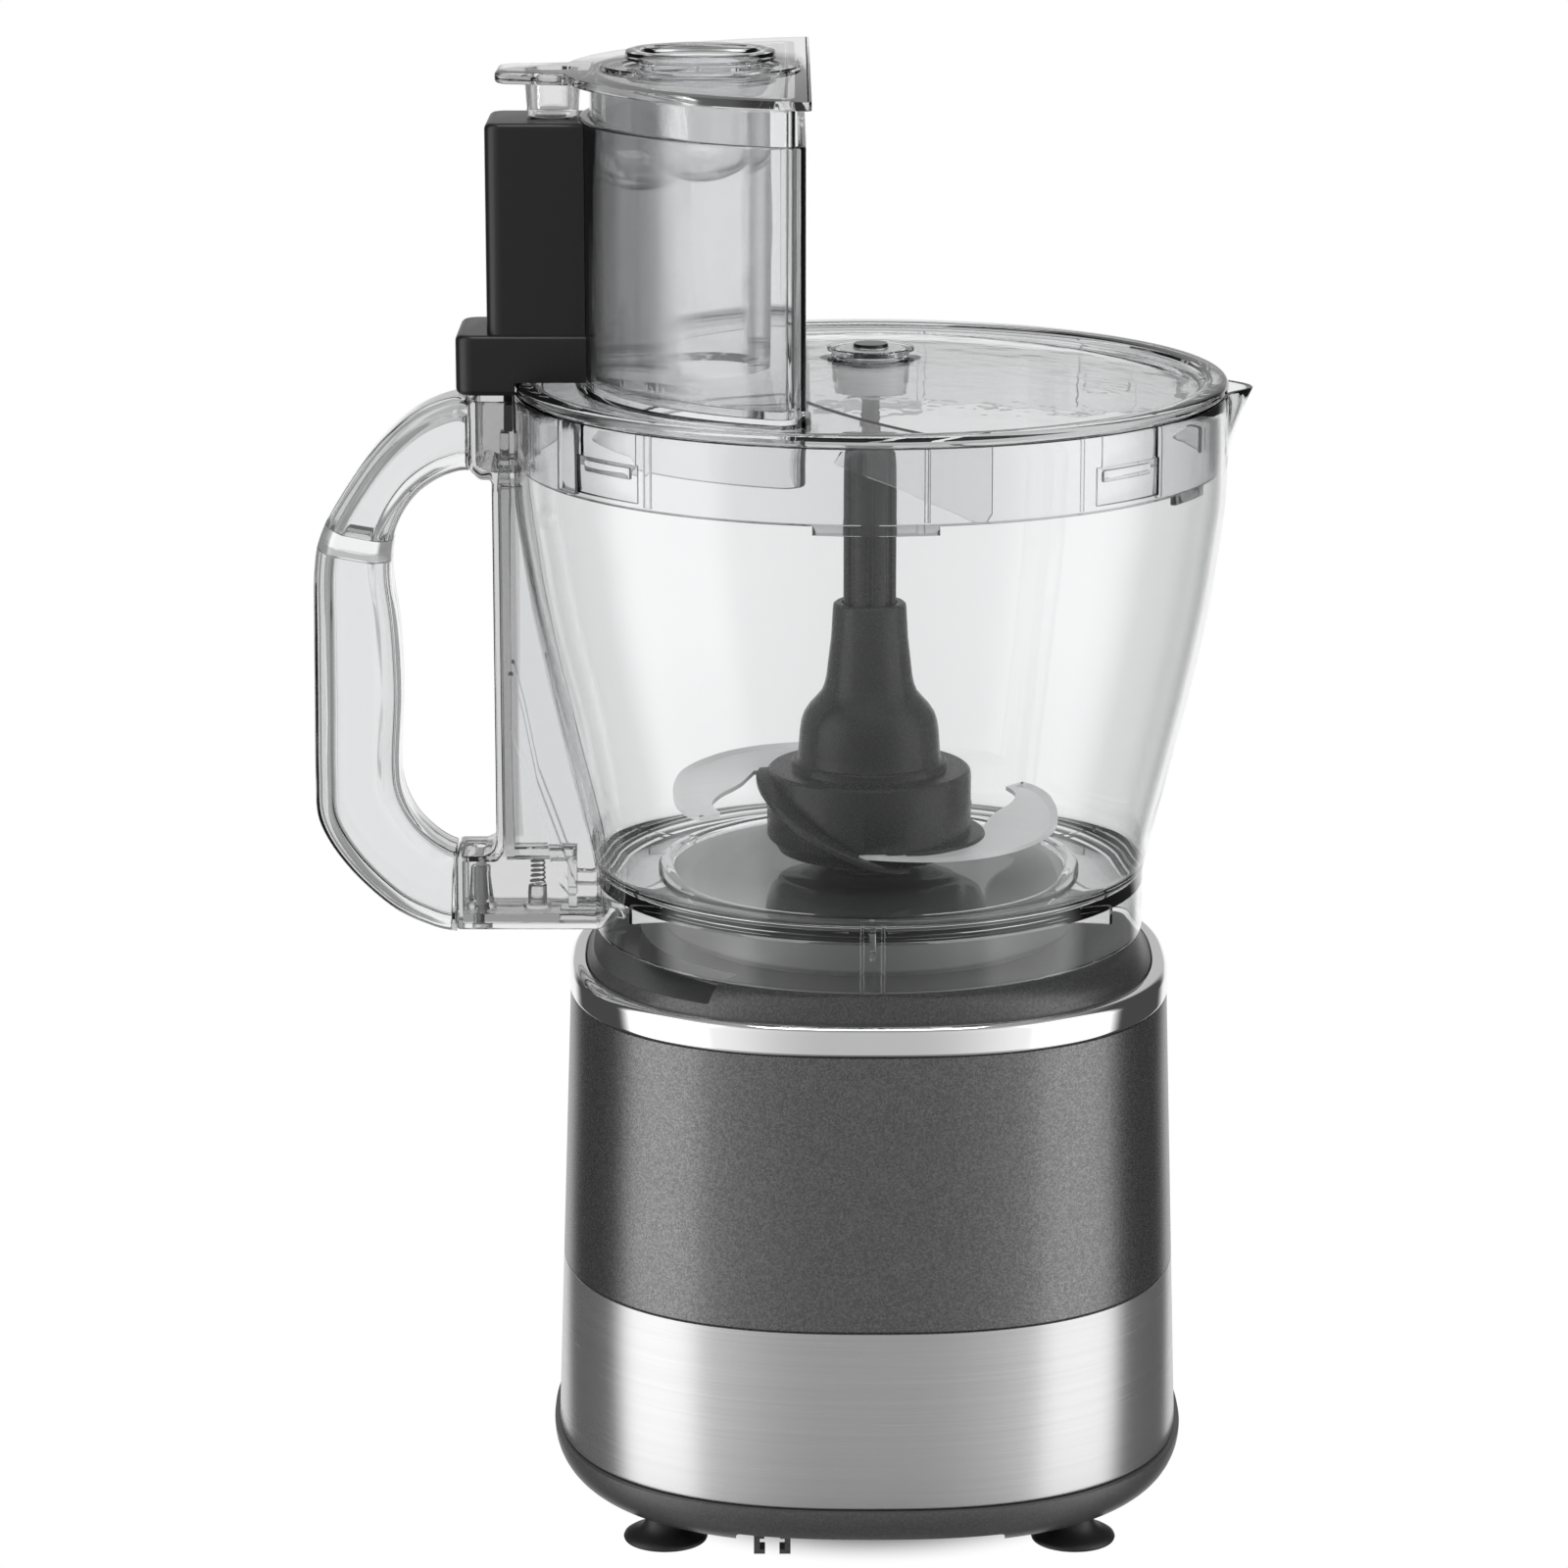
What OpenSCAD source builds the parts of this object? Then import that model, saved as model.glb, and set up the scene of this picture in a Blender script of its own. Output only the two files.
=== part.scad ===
// Kitchen food processor: motor base, clear bowl with a blade on its drive shaft, and a lid with a wide feed tube.
// Frame: the origin lies on the worktop under the drive axis, +Z up. The handle is at -X, the pouring lip at +X
// and the speed dial at +Y. Everything is in millimetres.

/* [Base casing] */
// Width of the base at the tray's upper edge
base_w = 195.6; // [188:0.4:206]
// Width of the base at the top of the housing
base_top_w = 186; // [183:0.5:194]
// How much shallower than wide the base is
base_flat = 10; // [6:1:14]
// Squareness of the base outline, where 2 is an ellipse
base_square = 2.45; // [2.3:0.05:2.7]
// Wall of the moulded casing parts
case_wall = 2.4; // [2:0.1:3]
// Shadow gap between casing parts
seam = 0.3; // [0.2:0.05:0.4]
// Height of the bottom tray
tray_h = 13; // [12:0.5:16]
// Height of the steel band
band_h = 56; // [48:1:64]
// Thickness of the steel band
band_t = 0.9; // [0.7:0.1:1.2]
// Height of the painted housing above the band
housing_h = 86; // [80:1:96]
// Height of the chrome ring
ring_h = 9; // [8:0.5:11]
// Width of the chrome ring seen from above
ring_w = 4.6; // [4:0.1:5.5]
// Rise of the deck from the ring up to the bowl seat
shoulder_h = 9; // [8:0.5:11]
// Radius of the drum that stands up inside the bowl's skirt
drum_r = 62; // [56:1:66]

/* [Feet] */
// Height of the suction feet under the tray
foot_h = 8; // [7:0.5:11]
// Diameter of a suction cup
foot_d = 26; // [22:1:30]
// Distance of the feet from the drive axis across the base
foot_x = 63; // [58:1:66]
// Distance of the feet from the drive axis from back to front
foot_y = 62; // [56:1:64]

/* [Bowl] */
// Outer radius of the bowl at its mouth
bowl_mouth_r = 108.9; // [106:0.5:112]
// Outer radius of the bowl at its floor
bowl_floor_r = 85.2; // [84.6:0.2:86.4]
// Wall of the bowl
bowl_wall = 2.2; // [1.8:0.1:2.6]
// Height of the skirt under the bowl's floor
skirt_h = 18.7; // [18:0.1:20]
// Height of the bowl from its floor to its mouth
bowl_depth = 150; // [144:1:158]
// Height of the thicker band at the mouth
mouth_band_h = 28; // [25:1:32]
// Radius of the tube in the middle of the floor
chimney_r = 13; // [12.5:0.1:14]
// Height of that tube above the floor
chimney_h = 22; // [18:1:24]

/* [Handle] */
// Reach of the handle from the drive axis
handle_reach = 172; // [166:1:178]
// Width of the handle from back to front
handle_w = 28; // [24:1:32]
// Thickness of the grip
grip_t = 27; // [24:1:30]
// Wall of the hollow grip
grip_wall = 3; // [2.4:0.1:3.6]

/* [Lid and feed tube] */
// Thickness of the lid
lid_t = 2.4; // [2:0.1:3]
// Rise of the domed lid in the middle
dome_h = 9.5; // [7:0.5:11]
// Depth of the lid's skirt inside the bowl
lid_skirt_h = 24; // [20:1:25]
// Outer radius of the feed tube's curved wall
tube_r = 88; // [85:0.5:90]
// Distance of the feed tube's flat wall from the drive axis
tube_flat = 20; // [18.5:0.5:24]
// Height of the feed tube above the bowl's mouth
tube_h = 81.5; // [74:1:90]
// Wall of the feed tube
tube_wall = 2.4; // [2:0.1:3]
// Play between the pusher and the feed tube on each side
pusher_play = 0.7; // [0.5:0.1:1]
// Gap between the feed tube's top and the pusher's plate
pusher_rise = 12.5; // [10:0.5:15]
// Outer radius of the round tube inside the pusher
cup_tube_r = 21; // [20:0.5:22]
// Length of the small pusher below its flange
cup_len = 35; // [30:1:45]

/* [Safety lock] */
// Height of the black cover's tower above its skirt
tower_h = 63.5; // [58:1:70]
// Width of the black cover from back to front
tower_w = 37; // [33:1:40]
// Travel of the plunger and the lock rod
lock_travel = 4; // [3:0.5:4]

/* [Blade] */
// Reach of the blade tips from the shaft
blade_reach = 79.5; // [72:0.5:81]
// Thickness of the blades
blade_t = 1.4; // [1:0.1:2]
// Radius of the blade hub
hub_r = 31.7; // [30:0.5:33]
// Radius of the fluted drive shaft
shaft_r = 8.2; // [7.6:0.2:8.8]
// Running clearance between turning parts
running = 0.05; // [0.03:0.01:0.08]

/* [Drive] */
// Distance from the drive axis to the motor shaft
motor_x = 50; // [47:1:53]
// Outer radius of the motor's stator
stator_r = 31; // [28:1:32]
// Radius of the driven pulley
driven_pulley_r = 30; // [27:1:32]
// Reduction from the motor to the blade
reduction = 4; // [3.5:0.1:4.5]
// Thickness of the drive belt
belt_t = 1.6; // [1.2:0.1:2]

/* [Dial] */
// Radius of the speed dial
dial_r = 21; // [18:1:24]
// Depth that the dial stands out
dial_h = 15; // [12:1:18]
// Height of the dial's middle above the worktop
dial_z = 118; // [112:1:124]

/* [Hidden] */
$fn = 96;

touch = 0.3;                                    // gap of pieces that rest on each other
weld = 0.05;                                    // gap of pieces that are welded together
z_tray = foot_h;
z_band = z_tray + tray_h;
z_housing = z_band + band_h;
z_ring = z_housing + housing_h;
z_deck = z_ring + ring_h;
z_seat = z_deck + shoulder_h;
z_bowl = z_seat + touch;                        // lower edge of the bowl's skirt
z_floor = z_bowl + skirt_h;                     // upper face of the bowl's floor
floor_t = 2.5;
z_mouth = z_floor + bowl_depth;
z_lid = z_mouth + touch;                        // underside of the lid's rim
z_tube = z_mouth + tube_h;
z_plate = z_tube + pusher_rise;
plate_t = 2.6;
tray_overlap = 4;                               // how far the housing reaches down behind the band
inner_inset = band_t + touch + case_wall;       // from the outside of the base to its inside face

// ---------- shared shapes ----------

function lerp(a, b, t) = a + (b - a) * t;
function smooth(t) = t * t * (3 - 2 * t);
function half_w(z) = lerp(base_w / 2, base_top_w / 2, (z - z_band) / (z_ring - z_band));
function half_d(z) = half_w(z) - base_flat / 2;
function power(v, e) = sign(v) * pow(abs(v), e);
function ring_points(z, w, d, n) =
    [for (a = [0 : 5 : 355]) [w * power(cos(a), 2 / n), d * power(sin(a), 2 / n), z]];
function flat(points) = [for (p = points) each p];

// A closed solid through rings of equal point count, listed from the lowest to the highest.
module loft(rings) {
    n = len(rings[0]);
    top = (len(rings) - 1) * n;
    sides = [for (k = [0 : len(rings) - 2]) for (i = [0 : n - 1])
        each [[k * n + i, (k + 1) * n + (i + 1) % n, k * n + (i + 1) % n],
              [k * n + i, (k + 1) * n + i, (k + 1) * n + (i + 1) % n]]];
    polyhedron(flat(rings), concat(
        [[for (i = [0 : n - 1]) i]], sides, [[for (i = [0 : n - 1]) top + n - 1 - i]]), 10);
}

// One ring of the base casing at height z, moved inwards by inset.
function case_ring(z, inset = 0) = ring_points(z, half_w(z) - inset, half_d(z) - inset, base_square);
module case_solid(z0, z1, inset = 0) loft([case_ring(z0, inset), case_ring(z1, inset)]);

module at_feet() {
    for (x = [-foot_x, foot_x], y = [-foot_y, foot_y])
        translate([x, y, 0]) children();
}
module ring(r_out, r_in, h) {
    difference() {
        cylinder(r = r_out, h = h);
        translate([0, 0, -1]) cylinder(r = r_in, h = h + 2);
    }
}
module block(x0, x1, y, z0, z1) translate([x0, -y / 2, z0]) cube([x1 - x0, y, z1 - z0]);

// A helical spring with flat ends, standing on z = 0.
module coil(r, wire, h, turns, sides = 8, steps = 14) {
    n = turns * steps;
    rings = [for (k = [0 : n]) let (a = 360 * k / steps, z = lerp(wire / 2, h - wire / 2, k / n))
        [for (i = [0 : sides - 1]) let (b = -360 * i / sides)
            [(r + wire / 2 * cos(b)) * cos(a), (r + wire / 2 * cos(b)) * sin(a), z + wire / 2 * sin(b)]]];
    loft(rings);
}

// ---------- base casing ----------

tray_round_w = 14;                              // how far the tray's edge curves in
tray_round_h = tray_h + 2;
function tray_inset(z) = tray_round_w * (1 - sqrt(1 - pow((z_band - z) / tray_round_h, 2)));
tray_lip = 1.6;                                 // how far the tray stands out past the band
vent_l = 34;
screw_head_r = 3.9;
z_screw = z_tray + case_wall + 2;               // seat of the screw heads
post_z = z_tray + case_wall + 8;                // lower end of the housing's screw posts
post_top = z_housing - 14;
notch_w = 82;
notch_h = 3;
notch_y = -base_w / 2 + 29;

module bottom_tray() color([0.20, 0.20, 0.21]) {
    levels = [0, 0.12, 0.28, 0.48, 0.74, 1];
    difference() {
        loft([for (t = levels) let (z = z_tray + t * tray_h) case_ring(z, tray_inset(z) - tray_lip)]);
        difference() {
            loft([for (t = levels) let (z = z_tray + t * tray_h)
                case_ring(z + case_wall, tray_inset(z) + case_wall - tray_lip)]);
            translate([-notch_w / 2 - case_wall, -base_w, z_tray])
                cube([notch_w + 2 * case_wall, base_w + notch_y + case_wall, notch_h + case_wall]);
        }
        // the raised edge at the back, where the cord passes under
        translate([-notch_w / 2, -base_w, z_tray - 1]) cube([notch_w, base_w + notch_y, notch_h + 1]);
        at_feet() cylinder(r = screw_head_r + 0.3, h = 20);
        for (k = [-3 : 3]) translate([k * 8 - 1.5, 20, 0]) cube([3, vent_l, 20]);
    }
    // tubes for the case screws, whose heads the feet cover
    at_feet() {
        translate([0, 0, z_tray + case_wall - 0.5]) ring(screw_head_r + 2.3, screw_head_r + 0.3, 2.6);
        translate([0, 0, z_screw]) ring(screw_head_r + 2.3, 2.2, post_z - touch - z_screw);
    }
}

module steel_band() color([0.74, 0.74, 0.73]) difference() {
    case_solid(z_band + seam, z_housing - seam / 2);
    case_solid(z_band - 1, z_housing + 1, band_t);
}

module upper_housing() color([0.33, 0.33, 0.34]) difference() {
    union() {
        at_feet() translate([0, 0, post_z]) cylinder(r = 5, h = 10);
        case_solid(z_housing + seam / 2, z_ring - seam / 2);
        case_solid(z_band + tray_overlap, z_housing + 1, band_t + touch);
    }
    difference() {
        case_solid(z_band, z_ring - 6, inner_inset);
        screw_posts();
    }
    case_solid(z_ring - 7, z_ring + 1, inner_inset + 3);
    // the opening that the dial's bezel fills
    translate([0, 0, dial_z]) rotate([-90, 0, 0]) cylinder(r = bezel_r + touch, h = base_w);
    at_feet() cylinder(r = 1.95, h = post_z + 16);
}
// The posts that the case screws go into, each with a web to the wall.
module screw_posts() {
    at_feet() translate([0, 0, post_z]) cylinder(r = 5, h = post_top - post_z);
    intersection() {
        for (x = [-foot_x, foot_x], side = [-1, 1]) translate([x - 1.1, side > 0 ? foot_y : -foot_y - 40, post_z + 12])
            cube([2.2, 40, post_top - post_z - 12]);
        case_solid(z_band + tray_overlap, z_housing, band_t + touch + 1);
    }
}

module chrome_ring() color([0.9, 0.9, 0.9]) difference() {
    loft([case_ring(z_ring + seam / 2, -0.3), case_ring(z_deck - 2.4, -0.3), case_ring(z_deck - 1.2, 0.3),
          case_ring(z_deck - 0.4, 1.5), case_ring(z_deck, 3.2)]);
    case_solid(z_ring - 1, z_deck + 1, ring_w);
}

drum_top = z_floor - floor_t - touch;
seat_r = bowl_floor_r - 2.2;
boss_r = 17;
pocket_floor = z_deck + 3;
bearing_r = 13;
bearing_h = 8;
spindle_r = 6;

// The deck runs from the oblong ring up to the round seat, and carries the drum under the bowl's floor.
module deck_form(drop, shrink) {
    edge = ring_w + touch + shrink;
    loft([
        ring_points(z_ring, half_w(z_ring) - edge, half_d(z_ring) - edge, base_square),
        ring_points(z_deck - 1 - drop, half_w(z_deck) - edge, half_d(z_deck) - edge, base_square),
        ring_points(z_deck + 1 - drop, half_w(z_deck) - edge - 1.2, half_d(z_deck) - edge - 0.3, 2.35),
        ring_points(lerp(z_deck, z_seat, 0.6) - drop, seat_r + 1.2 - shrink, seat_r - 0.6 - shrink, 2.1),
        ring_points(z_seat - drop, seat_r - 3 - shrink, seat_r - 3 - shrink, 2)]);
}
module top_deck() color([0.26, 0.26, 0.27]) difference() {
    union() {
        difference() {
            deck_form(0, 0);
            translate([0, 0, -1]) deck_form(case_wall - 1, case_wall);
        }
        rotate_extrude() polygon([
            [drum_r - case_wall, z_seat - case_wall], [drum_r, z_seat - case_wall], [drum_r, drum_top - 2],
            for (a = [0 : 22.5 : 90]) [drum_r - 2 + 2 * cos(a), drum_top - 2 + 2 * sin(a)],
            [boss_r, drum_top], [boss_r, drum_top - case_wall], [drum_r - case_wall, drum_top - case_wall]]);
        translate([0, 0, drum_top - 16]) cylinder(r = boss_r, h = 16);
        pocket_wall();
    }
    translate([0, 0, z_seat - case_wall - 0.1]) cylinder(r = drum_r - case_wall, h = 4);
    translate([0, 0, z_ring - 6]) cylinder(r = bearing_r + touch / 6, h = drum_top - z_ring + 6 - 4);
    cylinder(r = spindle_r + 1, h = drum_top + 1);
    pocket();
    translate([switch_x, 0, pocket_floor - 10]) cylinder(r = 2.2, h = 12);
}
// The recess at the back left, under the bowl's bracket.
pocket_from = 168;
pocket_to = 236;
module pocket_sector(r_in, r_out, z0, z1, grow = 0) {
    translate([0, 0, z0]) linear_extrude(z1 - z0) polygon([
        for (a = [pocket_from - grow : 4 : pocket_to + grow]) [r_out * cos(a), r_out * sin(a)],
        for (a = [pocket_to + grow : -4 : pocket_from - grow]) [r_in * cos(a), r_in * sin(a)]]);
}
pocket_in = 71;
module pocket() intersection() {
    pocket_sector(pocket_in, 100, pocket_floor, z_seat + 2);
    case_solid(z_deck - 1, z_seat + 4, ring_w + 3);
}
module pocket_wall() intersection() {
    pocket_sector(pocket_in - case_wall, 100, pocket_floor - case_wall, z_seat - 0.5, 1.6);
    deck_form(0, 0);
}

module suction_foot() color([0.06, 0.06, 0.06]) {
    r = foot_d / 2;
    rotate_extrude() polygon([
        [0, 2.6], [r - 6, 2], [r - 2.4, 0], [r - 0.6, 0], [r, 0.7], [r - 0.3, 1.6], [r - 4.5, 3.2],
        [r - 6.4, 5], [r - 6.8, foot_h - touch / 6], [screw_head_r, foot_h - touch / 6],
        [screw_head_r, foot_h + 1.6], [0, foot_h + 1.6]]);
}
module foot_at(k) {
    x = k % 2 == 0 ? -foot_x : foot_x;
    y = k < 2 ? -foot_y : foot_y;
    translate([x, y, 0]) suction_foot();
}

clip_x = -30;
clip_y = notch_y - 10.2;
module cord_clip() color([0.2, 0.2, 0.21]) translate([clip_x, clip_y, 0]) {
    arm_z = z_tray - 5.5;
    translate([-7, -3, z_tray + notch_h - 1.4]) cube([14, 9, 1.4 - touch / 6]);
    for (side = [-1, 1]) scale([1, 1, 1]) mirror([side < 0 ? 1 : 0, 0, 0]) {
        translate([3.8, -2.5, arm_z]) cube([1.8, 6, z_tray + notch_h - 1.2 - arm_z]);
        translate([2.2, -2.5, arm_z]) cube([1.8, 6, 1.4]);
        translate([2.4, -2.5, z_tray - 0.6]) cube([1.6, 6, 1.5]);
    }
}

gland_r = 3.3;
gland_y = -46;
module cord_gland() color([0.08, 0.08, 0.08]) translate([22, gland_y, 0]) difference() {
    union() {
        translate([-6, 0, 0.6]) cube([12, 14, z_tray - 0.6 - touch / 6]);
        translate([0, 0, 4.3]) rotate([90, 0, 0]) translate([0, 0, -1]) cylinder(r = 3.7, h = 1);
    }
    translate([0, 15, 4.3]) rotate([90, 0, 0]) cylinder(r = gland_r, h = 24);
}

module case_screws() color([0.7, 0.7, 0.7]) at_feet() {
    translate([0, 0, z_screw - 2.4 - touch / 6]) cylinder(r = screw_head_r, h = 2.4);
    translate([0, 0, z_screw - 1]) cylinder(r = 1.9, h = post_z - z_screw + 14);
}

// ---------- drive ----------

z_pulley = z_band + 6;
pulley_h = 9;
z_chassis = z_pulley + pulley_h + 5;
chassis_t = 3;
motor_pulley_r = driven_pulley_r / reduction;
stator_h = 44;
stator_z = z_chassis + chassis_t + 17;
rotor_r = stator_r - 12;
motor_shaft_r = 4;
motor_top = stator_z + stator_h + 22;

module chassis() color([0.62, 0.62, 0.64]) {
    difference() {
        union() {
            hull() {
                translate([-30, 0, z_chassis]) cylinder(r = 28, h = chassis_t);
                translate([motor_x, 0, z_chassis]) cylinder(r = 33, h = chassis_t);
            }
            translate([0, 0, z_chassis]) cylinder(r = bearing_r + 3.5, h = bearing_h + 3);
        }
        translate([0, 0, z_chassis + 3]) cylinder(r = bearing_r + touch / 6, h = bearing_h + 1);
        translate([0, 0, z_chassis - 1]) cylinder(r = spindle_r + 2, h = 20);
        translate([motor_x, 0, z_chassis - 1]) cylinder(r = 11 + touch / 6, h = 20);
    }
    // legs that stand on the tray
    for (p = [[-40, 16], [-40, -16], [64, 26], [64, -26]])
        translate([p[0], p[1], z_tray + case_wall + touch / 6])
            ring(4, 1.6, z_chassis - z_tray - case_wall - touch / 6);
}
module motor_stator() color([0.45, 0.45, 0.47]) translate([motor_x, 0, stator_z]) difference() {
    cylinder(r = stator_r, h = stator_h);
    translate([0, 0, -1]) cylinder(r = rotor_r + 0.8, h = stator_h + 2);
    for (a = [45 : 90 : 315]) rotate(a) translate([rotor_r + 2.5, -5, -1]) cube([6, 10, stator_h + 2]);
}
module motor_brackets() color([0.8, 0.8, 0.78]) translate([motor_x, 0, 0]) {
    // the lower bracket stands on the chassis and holds the lower motor bearing
    difference() {
        translate([0, 0, z_chassis + chassis_t + touch / 6]) cylinder(r = stator_r, h = stator_z - z_chassis - chassis_t - touch / 3);
        translate([0, 0, z_chassis + chassis_t + 3]) cylinder(r = stator_r - 2.5, h = stator_z);
        translate([0, 0, z_chassis]) cylinder(r = motor_shaft_r + running, h = stator_z);
        for (a = [0 : 45 : 315]) rotate(a)
            translate([stator_r - 8, -5, z_chassis + chassis_t + 5]) cube([12, 10, 8]);
    }
    // the upper bracket bridges the commutator
    difference() {
        translate([0, 0, stator_z + stator_h + touch / 6]) cylinder(r = stator_r, h = 22);
        translate([0, 0, stator_z + stator_h - 1]) cylinder(r = stator_r - 2.5, h = 20);
        translate([0, 0, stator_z]) cylinder(r = motor_shaft_r + running, h = stator_h + 30);
        for (a = [0 : 45 : 315]) rotate(a)
            translate([stator_r - 8, -5, stator_z + stator_h + 4]) cube([12, 10, 12]);
    }
}
module motor_rotor() color([0.72, 0.45, 0.2]) translate([motor_x, 0, 0]) {
    translate([0, 0, z_pulley - 3]) cylinder(r = motor_shaft_r, h = motor_top + 4 - z_pulley);
    difference() {
        translate([0, 0, stator_z + 1]) cylinder(r = rotor_r, h = stator_h - 2);
        for (a = [0 : 30 : 330]) rotate(a) translate([rotor_r - 5, -1, stator_z]) cube([8, 2, stator_h + 2]);
    }
    translate([0, 0, stator_z + stator_h + 2]) cylinder(r = 10, h = 12);
}
module motor_fan() color([0.15, 0.15, 0.16]) translate([motor_x, 0, z_chassis + chassis_t + 6]) difference() {
    union() {
        cylinder(r = stator_r - 5, h = 1.6);
        ring(7, motor_shaft_r, 9);
        for (a = [0 : 40 : 320]) rotate(a) translate([6, -0.7, 0]) cube([stator_r - 12, 1.4, 9]);
    }
    translate([0, 0, -1]) cylinder(r = motor_shaft_r + 0.02, h = 12);
}
module toothed(r, h, teeth, bore) difference() {
    union() {
        cylinder(r = r - 0.8, h = h);
        for (k = [0 : teeth - 1]) rotate(360 * k / teeth) translate([r - 1.2, -r * 0.9 / teeth * 2, 1])
            cube([1.2, r * 1.8 / teeth * 2, h - 2]);
        cylinder(r = r + 1, h = 1);
        translate([0, 0, h - 1]) cylinder(r = r + 1, h = 1);
    }
    translate([0, 0, -1]) cylinder(r = bore, h = h + 2);
}
module motor_pulley() color([0.7, 0.7, 0.7]) translate([motor_x, 0, z_pulley])
    toothed(motor_pulley_r, pulley_h, 12, motor_shaft_r + 0.02);
module driven_pulley() color([0.18, 0.18, 0.18]) translate([0, 0, z_pulley])
    toothed(driven_pulley_r, pulley_h, 48, spindle_r + 0.02);
module belt_loop(grow) hull() {
    circle(r = driven_pulley_r + grow);
    translate([motor_x, 0]) circle(r = motor_pulley_r + grow);
}
module drive_belt() color([0.07, 0.07, 0.07]) translate([0, 0, z_pulley + 1.5]) linear_extrude(pulley_h - 3)
    difference() {
        belt_loop(belt_t + touch);
        belt_loop(touch);
    }
hex_z = z_floor - 4;
hex_h = chimney_h - 4;
module output_spindle() color([0.78, 0.78, 0.78]) {
    translate([0, 0, z_pulley - 4]) cylinder(r = spindle_r, h = hex_z - z_pulley + 4);
    translate([0, 0, hex_z]) cylinder(r = spindle_r, h = hex_h, $fn = 6);
    translate([0, 0, z_pulley - 3]) ring(spindle_r + 3, spindle_r, 2.8);
}
module lower_bearing() color([0.75, 0.7, 0.55]) translate([0, 0, z_chassis + 3 + touch / 6])
    ring(bearing_r, spindle_r + running, bearing_h - touch / 6);
module upper_bearing() color([0.75, 0.7, 0.55]) translate([0, 0, drum_top - 4 - bearing_h - touch / 6])
    ring(bearing_r, spindle_r + running, bearing_h);

// ---------- controls ----------

bezel_r = dial_r + 5;
face_y = half_d(dial_z);                        // where the housing's front stands at the dial's height
bezel_y = face_y - 5;
module along_dial() translate([0, 0, dial_z]) rotate([-90, 0, 0]) children();
module dial_bezel() color([0.8, 0.8, 0.8]) along_dial() translate([0, 0, bezel_y]) difference() {
    union() {
        cylinder(r = bezel_r, h = 6.5);
        translate([0, 0, 6.5]) cylinder(r1 = bezel_r, r2 = bezel_r - 1, h = 1);
    }
    translate([0, 0, 3]) cylinder(r = dial_r + 1.2, h = 6);
    translate([0, 0, -1]) cylinder(r = 4.5, h = 8);
}
module speed_dial() color([0.75, 0.75, 0.75]) along_dial() translate([0, 0, bezel_y + 3.4]) {
    difference() {
        union() {
            cylinder(r = dial_r, h = dial_h - 4);
            translate([0, 0, dial_h - 4]) cylinder(r1 = dial_r, r2 = dial_r - 1.5, h = 1.5);
            intersection() {
                translate([-dial_r + 1.2, -4, dial_h - 5]) cube([2 * dial_r - 2.4, 8, 6]);
                cylinder(r = dial_r - 1.8, h = dial_h + 2);
            }
        }
        // the mark on the grip bar
        translate([-0.6, -3.9, 0]) translate([-dial_r + 4, 3.2, dial_h + 0.4]) cube([7, 1.4, 2]);
        for (a = [0 : 15 : 345]) rotate(a) translate([dial_r + 0.5, 0, 2]) cylinder(r = 1.1, h = dial_h, $fn = 24);
    }
    translate([0, 0, -9]) cylinder(r = 3, h = 9.5);
}
module rotary_switch() color([0.12, 0.12, 0.13]) along_dial() translate([0, 0, bezel_y - touch]) difference() {
    translate([-13, -13, -12]) cube([26, 26, 12]);
    translate([0, 0, -7]) cylinder(r = 3 + running, h = 10);
}
module control_board() color([0.1, 0.3, 0.15]) along_dial() translate([0, 0, bezel_y - touch]) {
    translate([-32, -24, -12 - 1.8]) cube([64, 48, 1.6]);
    // speed control parts on the board
    translate([-28, -20, -19]) cube([10, 14, 5.4]);
    translate([16, -20, -21]) cube([13, 18, 7.4]);
    translate([20, 12, -24]) cylinder(r = 6, h = 10.4);
    // the two posts that carry it on the housing
    for (x = [-29, 29]) translate([x, 20, -12.3]) cylinder(r = 2, h = 11.2);
}

switch_x = -77;
button_top = pocket_floor + 3.2;
module safety_switch() color([0.1, 0.1, 0.1]) {
    top = pocket_floor - case_wall - touch / 6;
    block(switch_x - 5, switch_x + 12, 10, top - 14, top);
    translate([switch_x, 0, top - 1]) cylinder(r = 1.6, h = button_top - top + 1);
}

// ---------- bowl ----------

// The wall's outline is one cubic curve from the floor to the band at the mouth.
z_mouth_band = z_mouth - mouth_band_h;
function bezier(a, b, c, d, t) =
    pow(1 - t, 3) * a + 3 * t * pow(1 - t, 2) * b + 3 * t * t * (1 - t) * c + t * t * t * d;
function wall_point(t, inset = 0) = [
    bezier(bowl_floor_r, lerp(bowl_floor_r, bowl_mouth_r, 0.29), bowl_mouth_r - 0.7, bowl_mouth_r - 0.7, t) - inset,
    bezier(z_floor, z_floor + 32, z_mouth_band - 37, z_mouth_band, t)];
wall_steps = [0 : 1 / 14 : 1];
module bowl_outer(grow = 0) rotate_extrude() polygon([
    [0, z_bowl - 20 * grow], [bowl_floor_r + grow, z_bowl - 20 * grow],
    for (t = wall_steps) wall_point(t, -grow),
    [bowl_mouth_r + grow, z_mouth_band + 0.5], [bowl_mouth_r + grow, z_mouth], [0, z_mouth]]);
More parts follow.
